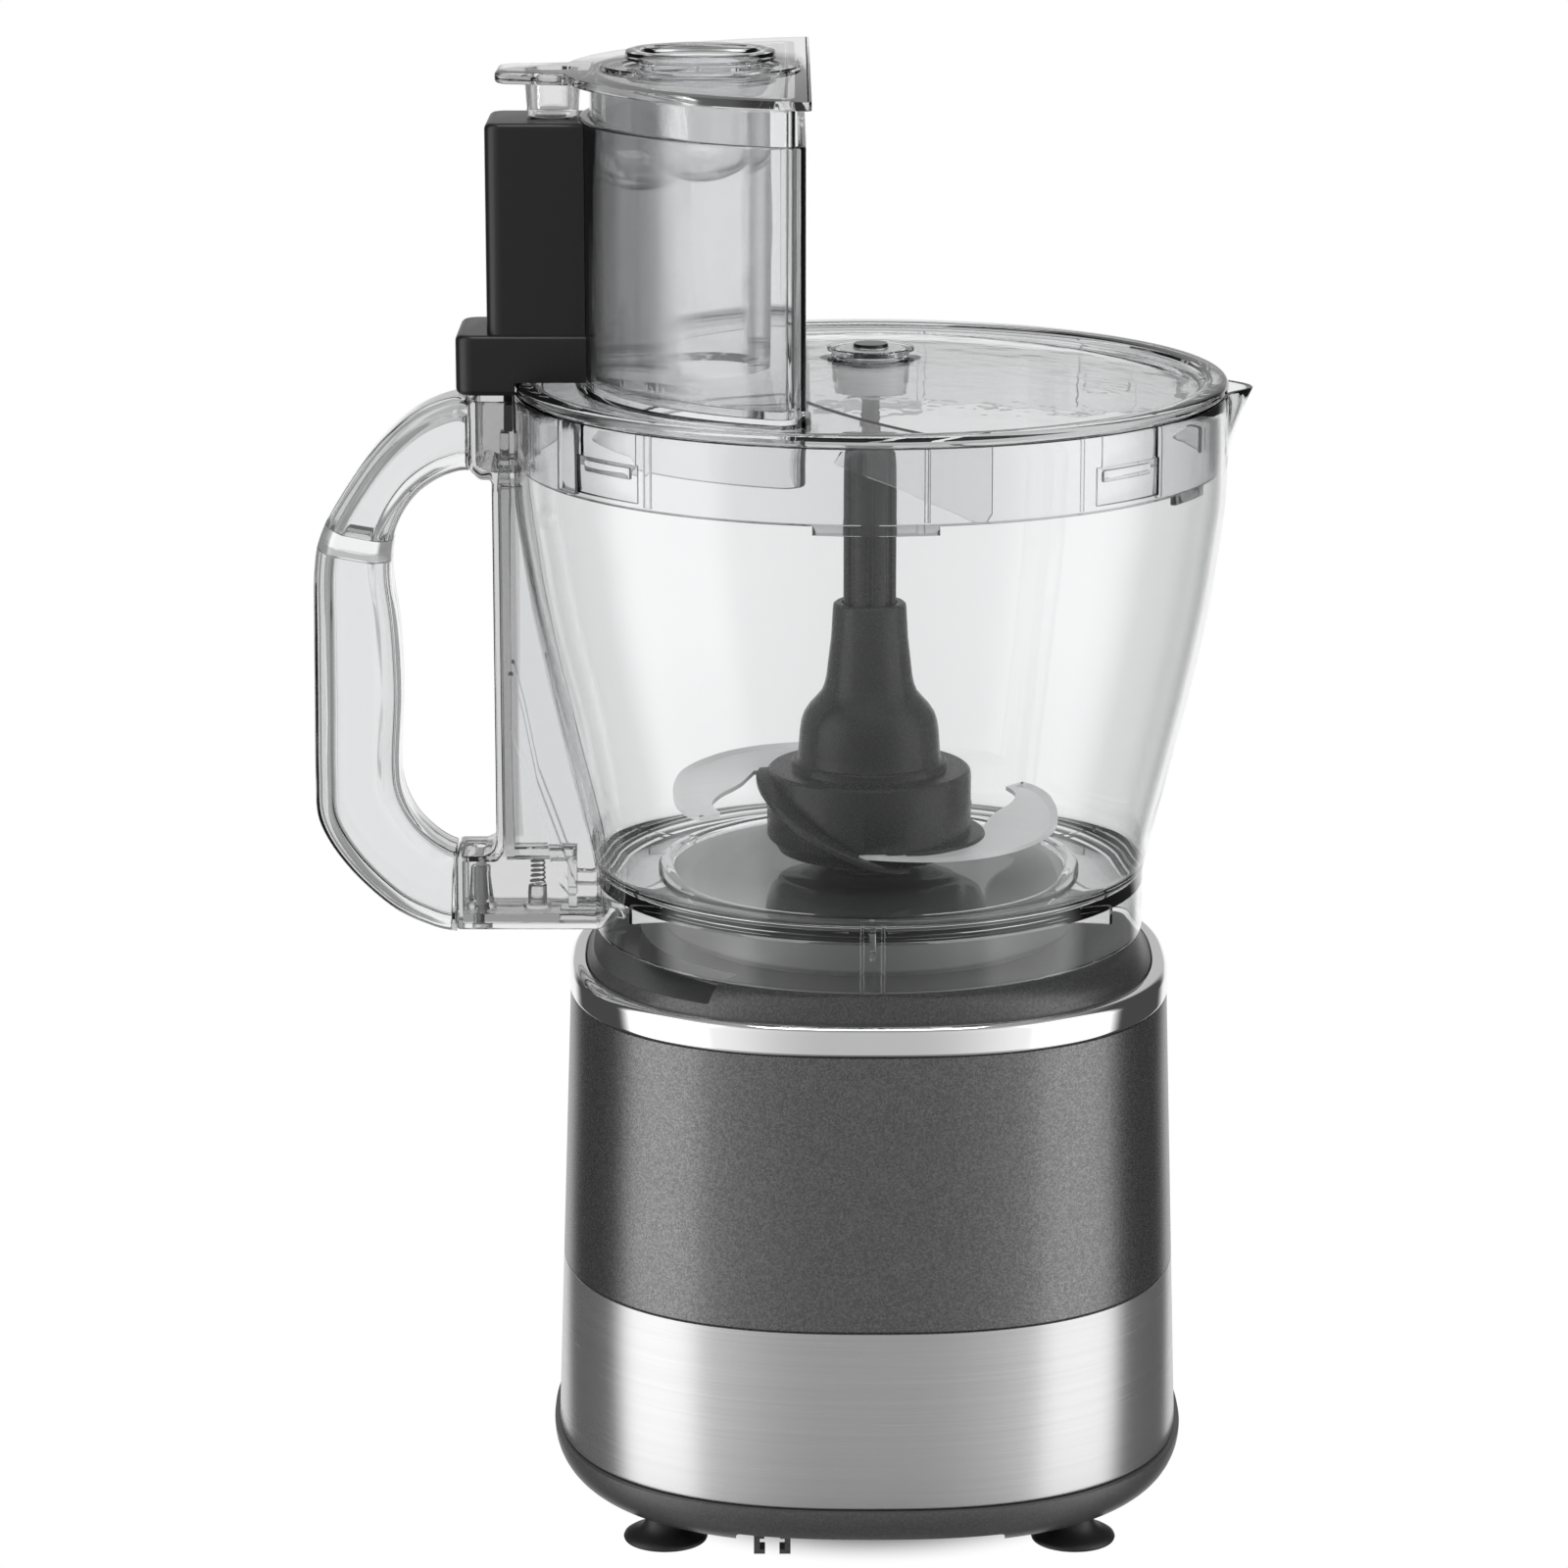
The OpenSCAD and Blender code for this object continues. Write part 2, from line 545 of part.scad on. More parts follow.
// The space inside, with a rounded corner at the floor.
module bowl_inside() rotate_extrude() {
    r = 5;
    foot = wall_point(0.06, bowl_wall);
    polygon([
        [chimney_r, z_floor], [foot[0] - r, z_floor],
        for (a = [-90 : 15 : 0]) [foot[0] - r + r * cos(a), z_floor + r + r * sin(a)],
        for (t = wall_steps) if (t > 0.08) wall_point(t, bowl_wall),
        [bowl_mouth_r - bowl_wall, z_mouth_band + 0.5], [bowl_mouth_r - bowl_wall, z_mouth + 1],
        [0, z_mouth + 1], [0, z_floor + chimney_h], [chimney_r, z_floor + chimney_h]]);
}
module skirt_inside() translate([0, 0, z_bowl - 1])
    cylinder(r = bowl_floor_r - bowl_wall, h = skirt_h - floor_t + 1);

bracket_w = handle_w - 2;
post_x = -(bowl_mouth_r + 6.4);                  // outer face of the post
joint_low_x = post_x - 12.6;                     // where the grip meets the bracket at the foot
joint_top_x = post_x - 6.6;                      // and at the top
bracket_top = z_floor + 5;
// A place in the bracket's foot, as a share of the way from the bowl's skirt out to the post.
function in_bracket(t) = lerp(-bowl_floor_r, post_x, t);
bracket_in = 25.2 - bowl_floor_r;                // where the bracket's form ends, inside the bowl
cage_in = 18.9 - bowl_mouth_r;
cage_floor = z_mouth_band + 1;
cage_top = z_mouth - 3;
module bracket_outline() polygon([
    [joint_low_x, z_bowl], [bracket_in, z_bowl], [bracket_in, z_mouth_band], [cage_in, cage_top],
    [joint_top_x, cage_top],
    [joint_top_x, cage_floor + 3], [joint_top_x + 3, cage_floor], [post_x, cage_floor],
    [post_x, bracket_top + 3], [post_x - 3, bracket_top], [joint_low_x, bracket_top]]);
module upright(w) rotate([90, 0, 0]) translate([0, 0, -w / 2]) linear_extrude(w) children();
module bracket_solid() upright(bracket_w) bracket_outline();
module bracket_space() {
    t = 2;
    // the room for the lock rod, from the foot up to the cage
    upright(bracket_w - 2 * t) polygon([
        [joint_low_x + t, z_bowl - 1], [bracket_in, z_bowl - 1], [bracket_in, cage_floor - t],
        [post_x + t, cage_floor - t],
        [post_x + t, bracket_top + 1], [post_x, bracket_top - t], [joint_low_x + t, bracket_top - t]]);
    // the cage that the plunger reaches into, open upwards
    upright(bracket_w - 2 * t) polygon([
        [joint_top_x + t, cage_floor + 2 * t], [post_x + 1, cage_floor + t], [bracket_in, cage_floor + t],
        [bracket_in, cage_top + 1], [joint_top_x + t, cage_top + 1]]);
}
lug_angles = [45 : 90 : 315];
lug_z = z_mouth - 16;
module pocket_channel(r, a0, a1, z0, z1) rotate(a0) translate([0, 0, z0])
    rotate_extrude(angle = a1 - a0) translate([bowl_mouth_r - bowl_wall - 0.5, 0]) square([r + 0.5, z1 - z0]);
module rod_window() block(-bowl_floor_r - 5, -bowl_floor_r + 6, rod_w + 2, z_bowl - 1, z_bowl + 12);
module bowl() color([0.9, 0.9, 0.9, 0.35]) {
    difference() {
        union() {
            bowl_outer();
            spout_form(0);
        }
        bowl_inside();
        skirt_inside();
        spout_form(1.8);
        translate([0, 0, z_bowl - 1]) cylinder(r = chimney_r - 2.4, h = skirt_h + chimney_h + 5);
        // channels that the lid's lugs drop into and turn along
        for (a = lug_angles) {
            pocket_channel(1.2, a - 5, a + 5, lug_z - 1.5, z_mouth + 1);
            pocket_channel(1.1, a - 20, a - 4, lug_z - 1.3, lug_z + 6);
        }
        rod_window();
    }
    floor_marks();
}
// The bracket beside the wall, which carries the grip and holds the lock rod. It is welded to the wall.
module bowl_bracket() color([0.9, 0.9, 0.9, 0.35]) difference() {
    union() {
        difference() {
            bracket_solid();
            bracket_space();
        }
        boss_and_shelf();
    }
    bowl_outer(weld);
    // the window for the lock rod's foot, and the hole for its top
    rod_window();
    block(rod_x - 3.6 / 2, rod_x + 3.6 / 2, rod_w - 2, cage_floor - 5, cage_floor + 5);
    // the screw holes of the grip
    for (p = screw_spots) translate(p) translate([0, 0, -8]) cylinder(r = 1.7, h = 30);
}
// The pouring lip: a short beak that opens through the wall.
module spout_form(inset) {
    reach = 8.3 - inset;
    half = 15 - inset;
    base_x = bowl_mouth_r - 3;
    low = z_mouth - 21 + inset * 2;
    top = z_mouth + (inset > 0 ? 1 : 0);
    hull() {
        translate([base_x - 2, -half, top - 1.5]) cube([2, 2 * half, 1.5]);
        translate([base_x + reach + 1.4, 0, top - 1.5]) cylinder(r = 1.6, h = 1.5, $fn = 24);
        translate([base_x - 2, -3, low]) cube([2, 6, 1]);
    }
}
boss_x = joint_low_x + 7;
spring_x = in_bracket(0.6);
module boss_and_shelf() {
    // the boss under the rod's spring, and the plate that closes the bracket's foot
    difference() {
        union() {
            block(joint_low_x + 1, -bowl_floor_r - 0.5, bracket_w - 2, z_bowl, z_bowl + 2);
            translate([spring_x, 0, z_bowl]) cylinder(r = 2.9, h = 12);
            translate([spring_x, 0, z_bowl]) cylinder(r = 4.4, h = 3);
            translate([boss_x, 0, z_bowl]) cylinder(r = 4.2, h = 20);
        }
        translate([boss_x, 0, z_bowl - 1]) cylinder(r = 1.7, h = 30);
        block(rod_leg_x - 4, -bowl_floor_r + 2, rod_w + 2, z_bowl - 1, z_bowl + 3);
    }
}
// Four ribs under the floor that centre the bowl on the drum, and a pair of guides on the skirt.
module floor_marks() {
    for (a = [30 : 60 : 330]) rotate(a)
        translate([drum_r + 1.5, -0.9, z_floor - floor_t - 6]) cube([bowl_floor_r - drum_r - 2.5, 1.8, 6.2]);
    for (x = [-6.4, 5.2]) translate([x, -bowl_floor_r + 0.4, z_bowl + 1]) cube([1.2, 2.2, skirt_h - 2]);
}

// The grip: a hollow rounded tube between an outer and an inner line, from the upper joint to the lower one.
// Each point holds how far it stands from the joint towards the grip's reach, and its height.
grip_in = handle_reach - grip_t;
low_joint = joint_low_x - touch;
top_joint = joint_top_x - touch;
function far(t, reach) = lerp(top_joint, -reach, t);
function near(t, reach) = lerp(low_joint, -reach, t);
outer_top = [[0, -3.4], [0.096, -2], [0.337, -7], [0.578, -17.8], [0.795, -33], [0.924, -45], [0.968, -56], [0.978, -75]];
outer_low = [[0.984, 50], [0.988, 28], [0.963, 14], [0.772, 0], [0.463, -13], [0.178, -19.2], [0, -21]];
inner_top = [[0, -25], [0.167, -25.4], [0.43, -27.7], [0.715, -32.5], [0.939, -40], [1.057, -49], [1.07, -60], [0.991, -74]];
inner_low = [[0.96, 56], [1.009, 34], [0.952, 24], [0.732, 16], [0.435, 10.5], [0.167, 7.2], [0, 6]];
outer_line = concat(
    [for (p = outer_top) [far(p[0], handle_reach), z_mouth + p[1]]],
    [for (k = [0 : 6]) let (p = outer_low[k])
        [k < 2 ? far(p[0], handle_reach) : near(p[0], handle_reach), z_floor + p[1]]]);
inner_line = concat(
    [for (p = inner_top) [far(p[0], grip_in), z_mouth + p[1]]],
    [for (k = [0 : 6]) let (p = inner_low[k])
        [k < 2 ? far(p[0], grip_in) : near(p[0], grip_in), z_floor + p[1]]]);
function catmull(a, b, c, d, t) = 0.5 * (2 * b + (c - a) * t + (2 * a - 5 * b + 4 * c - d) * t * t
    + (3 * b - a - 3 * c + d) * t * t * t);
function pick(list, k) = list[max(0, min(len(list) - 1, k))];
function along(list, s) = let (k = min(len(list) - 2, floor(s)), t = s - k)
    catmull(pick(list, k - 1), pick(list, k), pick(list, k + 1), pick(list, k + 2), t);
function grip_ring(s, wall) = let (
    o = along(outer_line, s), i = along(inner_line, s), middle = (o + i) / 2,
    half = (o - i) / 2 * (1 - 2 * wall / norm(o - i)), w = handle_w / 2 - wall)
    [for (j = [0 : 19]) let (a = 18 * j, u = power(cos(a), 0.62), v = power(sin(a), 0.62))
        [middle[0] + half[0] * u, w * v, middle[1] + half[1] * u]];
module handle_grip() color([0.92, 0.92, 0.92, 0.35]) {
    steps = [for (k = [0 : 32]) k * (len(outer_line) - 1) / 32];
    rings = [for (s = steps) grip_ring(s, 0)];
    inner = [for (s = steps) grip_ring(s, grip_wall)];
    n = 20;
    m = len(rings) * n;
    tube_faces = [for (k = [0 : len(rings) - 2]) for (i = [0 : n - 1]) each [
        [k * n + i, (k + 1) * n + (i + 1) % n, (k + 1) * n + i],
        [k * n + i, k * n + (i + 1) % n, (k + 1) * n + (i + 1) % n]]];
    last = m - n;
    ends = [for (i = [0 : n - 1]) each [
        [i, m + (i + 1) % n, (i + 1) % n], [i, m + i, m + (i + 1) % n],
        [last + (i + 1) % n, m + last + i, last + i], [last + (i + 1) % n, m + last + (i + 1) % n, m + last + i]]];
    polyhedron(concat(flat(rings), flat(inner)),
        concat(tube_faces, [for (f = tube_faces) [m + f[0], m + f[2], m + f[1]]], ends), 10);
}
screw_spots = [[boss_x, 0, z_bowl + 14]];
module grip_screws() color([0.7, 0.7, 0.72]) for (p = screw_spots) translate(p) {
    translate([0, 0, -14.4]) cylinder(r = 1.6, h = 22.4);
    translate([0, 0, -16.2]) cylinder(r = 3.2, h = 2.2 - touch / 6);
}

rod_x = post_x + 3.6;
rod_w = 8;
rod_t = 3;
rod_leg_x = in_bracket(0.232);
rod_foot_z = z_floor + 1.5;
rod_top = z_mouth - 15;
module lock_rod() color([0.85, 0.85, 0.85, 0.6]) {
    block(rod_x - rod_t / 2, rod_x + rod_t / 2, rod_w, rod_foot_z, cage_floor - 3 - 0.5);
    block(rod_x - rod_t / 2, rod_x + rod_t / 2, rod_w - 3, cage_floor - 4, rod_top);
    block(rod_x - rod_t / 2, rod_leg_x + 1.5, rod_w, rod_foot_z, rod_foot_z + 3.5);
    block(rod_leg_x - 1.5, rod_leg_x + 1.5, rod_w - 2, z_bowl + lock_travel + 1, rod_foot_z + 1);
    block(rod_leg_x - 1.5, switch_x + 2, rod_w - 2, z_bowl + lock_travel + 1, z_bowl + lock_travel + 4);
    translate([switch_x, 0, button_top + lock_travel + touch]) cylinder(r = 1.8, h = z_bowl + 2 - button_top);
}
module rod_spring() color([0.75, 0.75, 0.75]) translate([spring_x, 0, z_bowl + 12 + touch / 3])
    coil(2.2, 0.6, rod_foot_z - z_bowl - 12 - touch, 5);

// ---------- drive shaft and blade ----------

cup_in = chimney_r + 0.8;
cup_out = cup_in + 2.6;
cup_top = z_floor + chimney_h + 4.5;
shaft_top = z_mouth - 17;
pin_r = 2.8;
module drive_shaft() color([0.17, 0.17, 0.18]) difference() {
    union() {
        translate([0, 0, z_floor + 1]) cylinder(r = cup_out, h = cup_top - z_floor - 1);
        difference() {
            translate([0, 0, cup_top - 1]) cylinder(r = shaft_r, h = shaft_top - cup_top + 1);
            for (a = [0 : 45 : 315]) rotate(a)
                translate([shaft_r + 0.5, 0, cup_top + 2]) cylinder(r = 1.5, h = shaft_top, $fn = 24);
        }
        translate([0, 0, shaft_top - 1]) cylinder(r = pin_r, h = z_lid + 3 - shaft_top);
    }
    difference() {
        translate([0, 0, z_floor]) cylinder(r = cup_in, h = chimney_h + 1);
        translate([0, 0, z_floor + 5]) cylinder(r = chimney_r - 3.2, h = 40);
    }
    // the six-sided socket over the spindle
    translate([0, 0, z_floor - 1]) cylinder(r = spindle_r + 0.25, h = chimney_h + 1, $fn = 6);
}

hub_base = z_floor + 5;
hub_top = z_floor + 83;
disc_top = z_floor + 31;
disc_low = z_floor + 7;
upper_blade_z = z_floor + 28.8;
lower_blade_z = z_floor + 9.4;
hub_fit = 0.25;
module blade_hub() color([0.22, 0.22, 0.23]) difference() {
    union() {
        rotate_extrude() polygon([
            [0, hub_base], [hub_r - 4, hub_base], [hub_r - 2, hub_base + 3], [hub_r, hub_base + 4],
            [hub_r, disc_top - 2], for (a = [0 : 30 : 90]) [hub_r - 2 + 2 * cos(a), disc_top - 2 + 2 * sin(a)],
            [22.7, disc_top], [22.7, disc_top + 1.5], [22.2, disc_top + 3], [21.4, disc_top + 14],
            [20, disc_top + 17], [16.5, disc_top + 21], [14, disc_top + 24.5], [13.2, disc_top + 28],
            [11.9, hub_top - 12], [11.4, hub_top - 1.5], [10.6, hub_top], [0, hub_top]]);
        ramp(180);
        ramp(0);
    }
    translate([0, 0, hub_base - 1]) cylinder(r = cup_out + hub_fit, h = cup_top + hub_fit - hub_base + 1);
    difference() {
        translate([0, 0, hub_base]) cylinder(r = shaft_r + hub_fit, h = hub_top);
        // keys that run in four of the shaft's flutes
        for (a = [0 : 90 : 270]) rotate(a) translate([shaft_r + 0.6, 0, cup_top + 4])
            cylinder(r = 1.2, h = hub_top - cup_top - 8, $fn = 24);
    }
    // the slots that the blade roots are moulded into
    for (side = [0, 1]) rotate(180 * side)
        translate([0, 0, side == 0 ? upper_blade_z : lower_blade_z]) linear_extrude(blade_t)
            offset(delta = 0) blade_outline(0.02);
}
// A screw-shaped ledge round the hub, from one blade's root down to the other's.
module ramp(start) {
    turn = 112;
    high = start == 180 ? disc_top : lerp(disc_top, disc_low, 0.5);
    loft([for (k = [0 : 16]) let (t = k / 16, a = start + turn * t, drop = lerp(high, disc_low, smooth(t)),
        out = hub_r + 5.6 * sin(180 * min(1, 0.16 + t * 0.84)))
        [for (q = [[hub_r - 3, drop], [out, drop - 0.8], [out, drop - 3], [hub_r - 3, drop - 3.4]])
            [q[0] * cos(a), q[0] * sin(a), q[1]]]]);
}
// A sabre blade: its outer edge runs out in a spiral to a hooked tip. The lists hold the angle round the
// shaft and the share of the way from the hub to the reach.
edge_line = [[84, 0], [92, 0], [106, 0.07], [119, 0.16], [140, 0.29], [153, 0.365], [167, 0.44], [181, 0.53],
    [196, 0.632], [208, 0.75], [218, 0.88], [226, 0.975], [230, 1]];
hook_line = [[184.6, 0.06], [192, 0.1], [203, 0.2], [210, 0.33], [215, 0.48], [223, 0.7], [230.5, 0.82]];
function blade_point(line, s, grow) = let (p = along(line, s), r = lerp(hub_r + 1.3, blade_reach, p[1]) + grow)
    [r * cos(p[0]), r * sin(p[0])];
edge_steps = [0 : 0.5 : len(edge_line) - 1];
module blade_outline(grow = 0) {
    root = cup_out + 3.2;
    polygon(concat(
        [root * [cos(84), sin(84)]],
        [for (t = edge_steps) blade_point(edge_line, t, grow)],
        [for (t = [len(hook_line) - 1 : -0.5 : 0]) blade_point(hook_line, t, -grow)],
        [for (a = [180 : -16 : 96]) root * [cos(a), sin(a)]]));
}
// The blade's edge is ground to a bevel along the spiral.
module blade() difference() {
    linear_extrude(blade_t) blade_outline();
    for (t = [2 : 0.5 : len(edge_line) - 1.5]) {
        p = blade_point(edge_line, t, 0);
        q = blade_point(edge_line, t + 0.5, 0);
        translate([p[0], p[1], blade_t]) rotate(atan2(q[1] - p[1], q[0] - p[0])) rotate([20, 0, 0])
            translate([-0.3, -6, 0]) cube([norm(q - p) + 0.6, 8, 4]);
    }
}
module upper_blade() color([0.8, 0.8, 0.8]) translate([0, 0, upper_blade_z]) blade();
module lower_blade() color([0.8, 0.8, 0.8]) translate([0, 0, lower_blade_z]) rotate(180) blade();
// The cap snapped over the hub's collar.
module hub_cap() color([0.2, 0.2, 0.21]) translate([0, 0, disc_top + 1.6])
    ring(23.6, 22.75, 2.2);

// ---------- lid ----------

rim_in = bowl_mouth_r - 9;
skirt_r = bowl_mouth_r - bowl_wall - 0.5;
function dome(r) = z_lid + dome_h * (1 - pow(r / rim_in, 2));
centre_r = 12.9;
tube_in_r = tube_r - tube_wall;
module tube_section(r, x, corner = 6) offset(r = corner, $fn = 32) offset(delta = -corner)
    intersection() {
        circle(r = r);
        translate([-150, -150]) square([150 - x, 300]);
    }
// The same D outline with exact arcs: the curved wall, the flat wall and round corners.
module d_prism(r, x, z0, z1, corner = 6) {
    cx = -x - corner;
    cy = sqrt(pow(r - corner, 2) - cx * cx);
    turn = atan2(cy, cx);
    translate([0, 0, z0]) linear_extrude(z1 - z0) {
        intersection() {
            circle(r = r);
            difference() {
                translate([-r, -r]) square([r - x, 2 * r]);
                for (s = [-1, 1]) translate([0, s * (cy + r / 2)]) square([2 * r, r], center = true);
            }
        }
        for (s = [-1, 1]) translate([cx, s * cy]) circle(r = corner, $fn = 48);
        intersection() {
            circle(r = r);
            polygon([[0, 0], 1.5 * r * [cos(turn), sin(turn)], [-1.5 * r, 1.5 * r],
                [-1.5 * r, -1.5 * r], 1.5 * r * [cos(turn), -sin(turn)]]);
            translate([-r, -r]) square([r - x, 2 * r]);
        }
    }
}
module lid_body() rotate_extrude() polygon([
    [centre_r - 3, z_lid + dome_h - lid_t],
    for (r = [20 : 10 : rim_in - 6]) [r, dome(r) - lid_t],
    [rim_in, z_lid - lid_t], [skirt_r - 2, z_lid - lid_t], [skirt_r - 2, z_lid - lid_skirt_h],
    [skirt_r, z_lid - lid_skirt_h], [skirt_r, z_lid], [bowl_mouth_r - 0.4, z_lid],
    [bowl_mouth_r, z_lid + 0.6], [bowl_mouth_r, z_lid + 2],
    for (a = [15 : 25 : 90]) [bowl_mouth_r - 1.6 + 1.6 * cos(a), z_lid + 2 + 1.4 * sin(a)],
    [bowl_mouth_r - 5.5, z_lid + 3.4], [bowl_mouth_r - 7, z_lid + 2.6], [rim_in, dome(rim_in) + 0.2],
    for (r = [rim_in - 6 : -10 : 20]) [r, dome(r)],
    [centre_r - 3, z_lid + dome_h]]);
boss_top = z_lid + dome_h + 2.4;
module centre_boss() rotate_extrude() polygon([
    [5.4, boss_top], [centre_r, boss_top], [centre_r, boss_top - 1.6], [centre_r - 1.3, boss_top - 2.4],
    [centre_r - 1.3, boss_top - 8], [centre_r - 2.6, boss_top - 9], [centre_r - 2.6, boss_top - 15.5],
    [centre_r - 4.6, boss_top - 15.5], [centre_r - 4.6, boss_top - 4.5], [5.4, boss_top - 4.5]]);
// The fin under the lid that turns food back into the bowl.
fin_c = [70, -30];
fin_r = 87;
module deflector() intersection() {
    translate([fin_c[0], fin_c[1], z_lid - 26]) ring(fin_r + 2, fin_r, 40);
    rotate_extrude() polygon([
        [24, z_lid - 30], [skirt_r - 1, z_lid - 30], [skirt_r - 1, z_lid - lid_t / 2],
        for (r = [rim_in : -10 : 24]) [r, dome(r) - lid_t / 2], [24, dome(24) - lid_t / 2]]);
    upright(240) polygon([[-tube_flat, z_lid - 9], [5, z_lid - 15], [33, z_lid - 23.5], [33, z_lid + 3],
        [-tube_flat, z_lid + dome_h]]);
    translate([-tube_flat, -120, z_lid - 40]) cube([60, 95, 60]);
}
module lid() color([0.9, 0.9, 0.9, 0.35]) {
    difference() {
        union() {
            lid_body();
            centre_boss();
            deflector();
            d_prism(tube_r, tube_flat, z_lid - 6, z_tube);
            // the step round the tube's foot
            d_prism(tube_r + 1.6, tube_flat - 1.6, z_lid - lid_t, z_lid + 1.2);
            for (a = lug_angles) rotate(a - 3) translate([0, 0, lug_z]) rotate_extrude(angle = 6)
                translate([skirt_r - 1, 0]) square([2.2, 4]);
            skirt_ribs();
        }
        d_prism(tube_in_r, tube_flat + tube_wall, z_lid - 10, z_tube + 1, 6 - tube_wall);
        skirt_gaps();
    }
}
// Upright ribs on the skirt, and the tabs along its lower edge.
module skirt_ribs() {
    for (a = [214, 234, 277, 285, 330, 20, 80, 110]) rotate(a)
        translate([skirt_r - 3.4, -0.9, z_lid - lid_skirt_h + 1]) cube([1.8, 1.8, lid_skirt_h - 2]);
    for (a = [270, 327, 33, 90, 147]) rotate(a - 8.5) translate([0, 0, z_lid - lid_skirt_h - 1.8])
        rotate_extrude(angle = 17) translate([skirt_r - 1.85, 0]) square([1.7, 2.5]);
}
// The skirt is cut away at the pouring lip, so that the bowl can be emptied.
module skirt_gaps() rotate(-7) translate([0, 0, z_lid - lid_skirt_h - 1])
    rotate_extrude(angle = 14) translate([skirt_r - 2.5, 0]) square([2.6, lid_skirt_h - 3]);

module lid_bearing() color([0.92, 0.92, 0.9]) translate([0, 0, boss_top - 15])
    difference() {
        cylinder(r = centre_r - 4.6 - touch / 6, h = 10.4);
        translate([0, 0, -1]) cylinder(r = pin_r + running, h = 9);
    }
module lid_pin() color([0.5, 0.5, 0.5]) translate([0, 0, boss_top - 4.55]) {
    cylinder(r = 5.4 - touch / 6, h = 3.2);
}

// ---------- safety lock cover and plunger ----------

tower_x0 = -(bowl_mouth_r + 7.1);               // outer face of the tower
skirt_x0 = tower_x0 - 9.5;                      // outer face of the cover's skirt
z_cover = z_lid - touch;                        // lower edge of the skirt outside the bowl
cover_h = 17;
z_tower = z_cover + cover_h;
function tower_top() = z_tower + tower_h;
peg_x = -(tube_r + 8);
tip_x = rod_x + 1.2;
round_r = 3;
peg_end = tower_top() - 7;
// A place in the tower, as a share of the way from the feed tube's side out to the outer face.
function in_tower(t) = lerp(-tube_r - 1.8, tower_x0 + 2.6, t);
stem_x = in_tower(0.432);
shelf_z = peg_end - 31;                         // the shelf inside the tower that carries the spring
module round_block(x0, x1, w, z0, z1, r = round_r) hull()
    for (y = [-w / 2 + r, w / 2 - r], x = [x0 + r, x1 - r]) translate([x, y, z0]) {
        cylinder(r = r, h = z1 - z0 - 1, $fn = 32);
        cylinder(r = r - 1, h = z1 - z0, $fn = 32);
    }
module lock_cover() color([0.05, 0.05, 0.05]) difference() {
    union() {
        round_block(tower_x0, -tube_r + 12, tower_w, z_cover + 4, tower_top());
        round_block(skirt_x0, -tube_r + 12, tower_w + 3, z_cover, z_tower);
    }
    // it wraps round the feed tube and stands on the lid's rim
    translate([0, 0, z_cover - 5]) cylinder(r = tube_r + 0.15, h = 200);
    translate([0, 0, z_cover - 20]) cylinder(r = bowl_mouth_r + 0.6, h = 20 + touch + 3.6 + touch);
    // hollow inside
    block(tower_x0 + 2.6, -tube_r - 1.8, tower_w - 5.2, z_cover + 6.5, shelf_z - 2);
    block(tower_x0 + 2.6, -tube_r - 1.8, tower_w - 5.2, shelf_z, tower_top() - 2.4);
    translate([stem_x, 0, shelf_z - 3]) cylinder(r = 2.9, h = 4);
    block(skirt_x0 + 2.6, -bowl_mouth_r + 1.5, tower_w - 4, z_cover - 5, z_tower - 2.4);
    // the opening for the pusher's peg
    block(peg_x - 6.5, peg_x + 5, 13, tower_top() - 5, tower_top() + 1);
}
module plunger() color([0.04, 0.04, 0.04]) {
    top = peg_end - touch;
    // pad under the peg, stem, arm and the tip that reaches into the bowl's cage
    block(in_tower(0.644), in_tower(0.072), 11, top - 3, top);
    translate([stem_x, 0, z_tower + 4]) cylinder(r = 2.6, h = top - 1 - z_tower - 4);
    block(tip_x - 1.4, stem_x + 2, 5, z_cover + 10.5, z_cover + 14.5);
    block(stem_x - 2, stem_x + 2, 5, z_cover + 10.5, z_tower + 6);
    block(tip_x - 1.4, tip_x + 1.4, 5, rod_top + touch, z_cover + 13);
}
module plunger_spring() color([0.75, 0.75, 0.75])
    translate([stem_x, 0, shelf_z + touch]) coil(4, 0.8, peg_end - touch * 3 - 3 - shelf_z, 5);

// ---------- pushers ----------

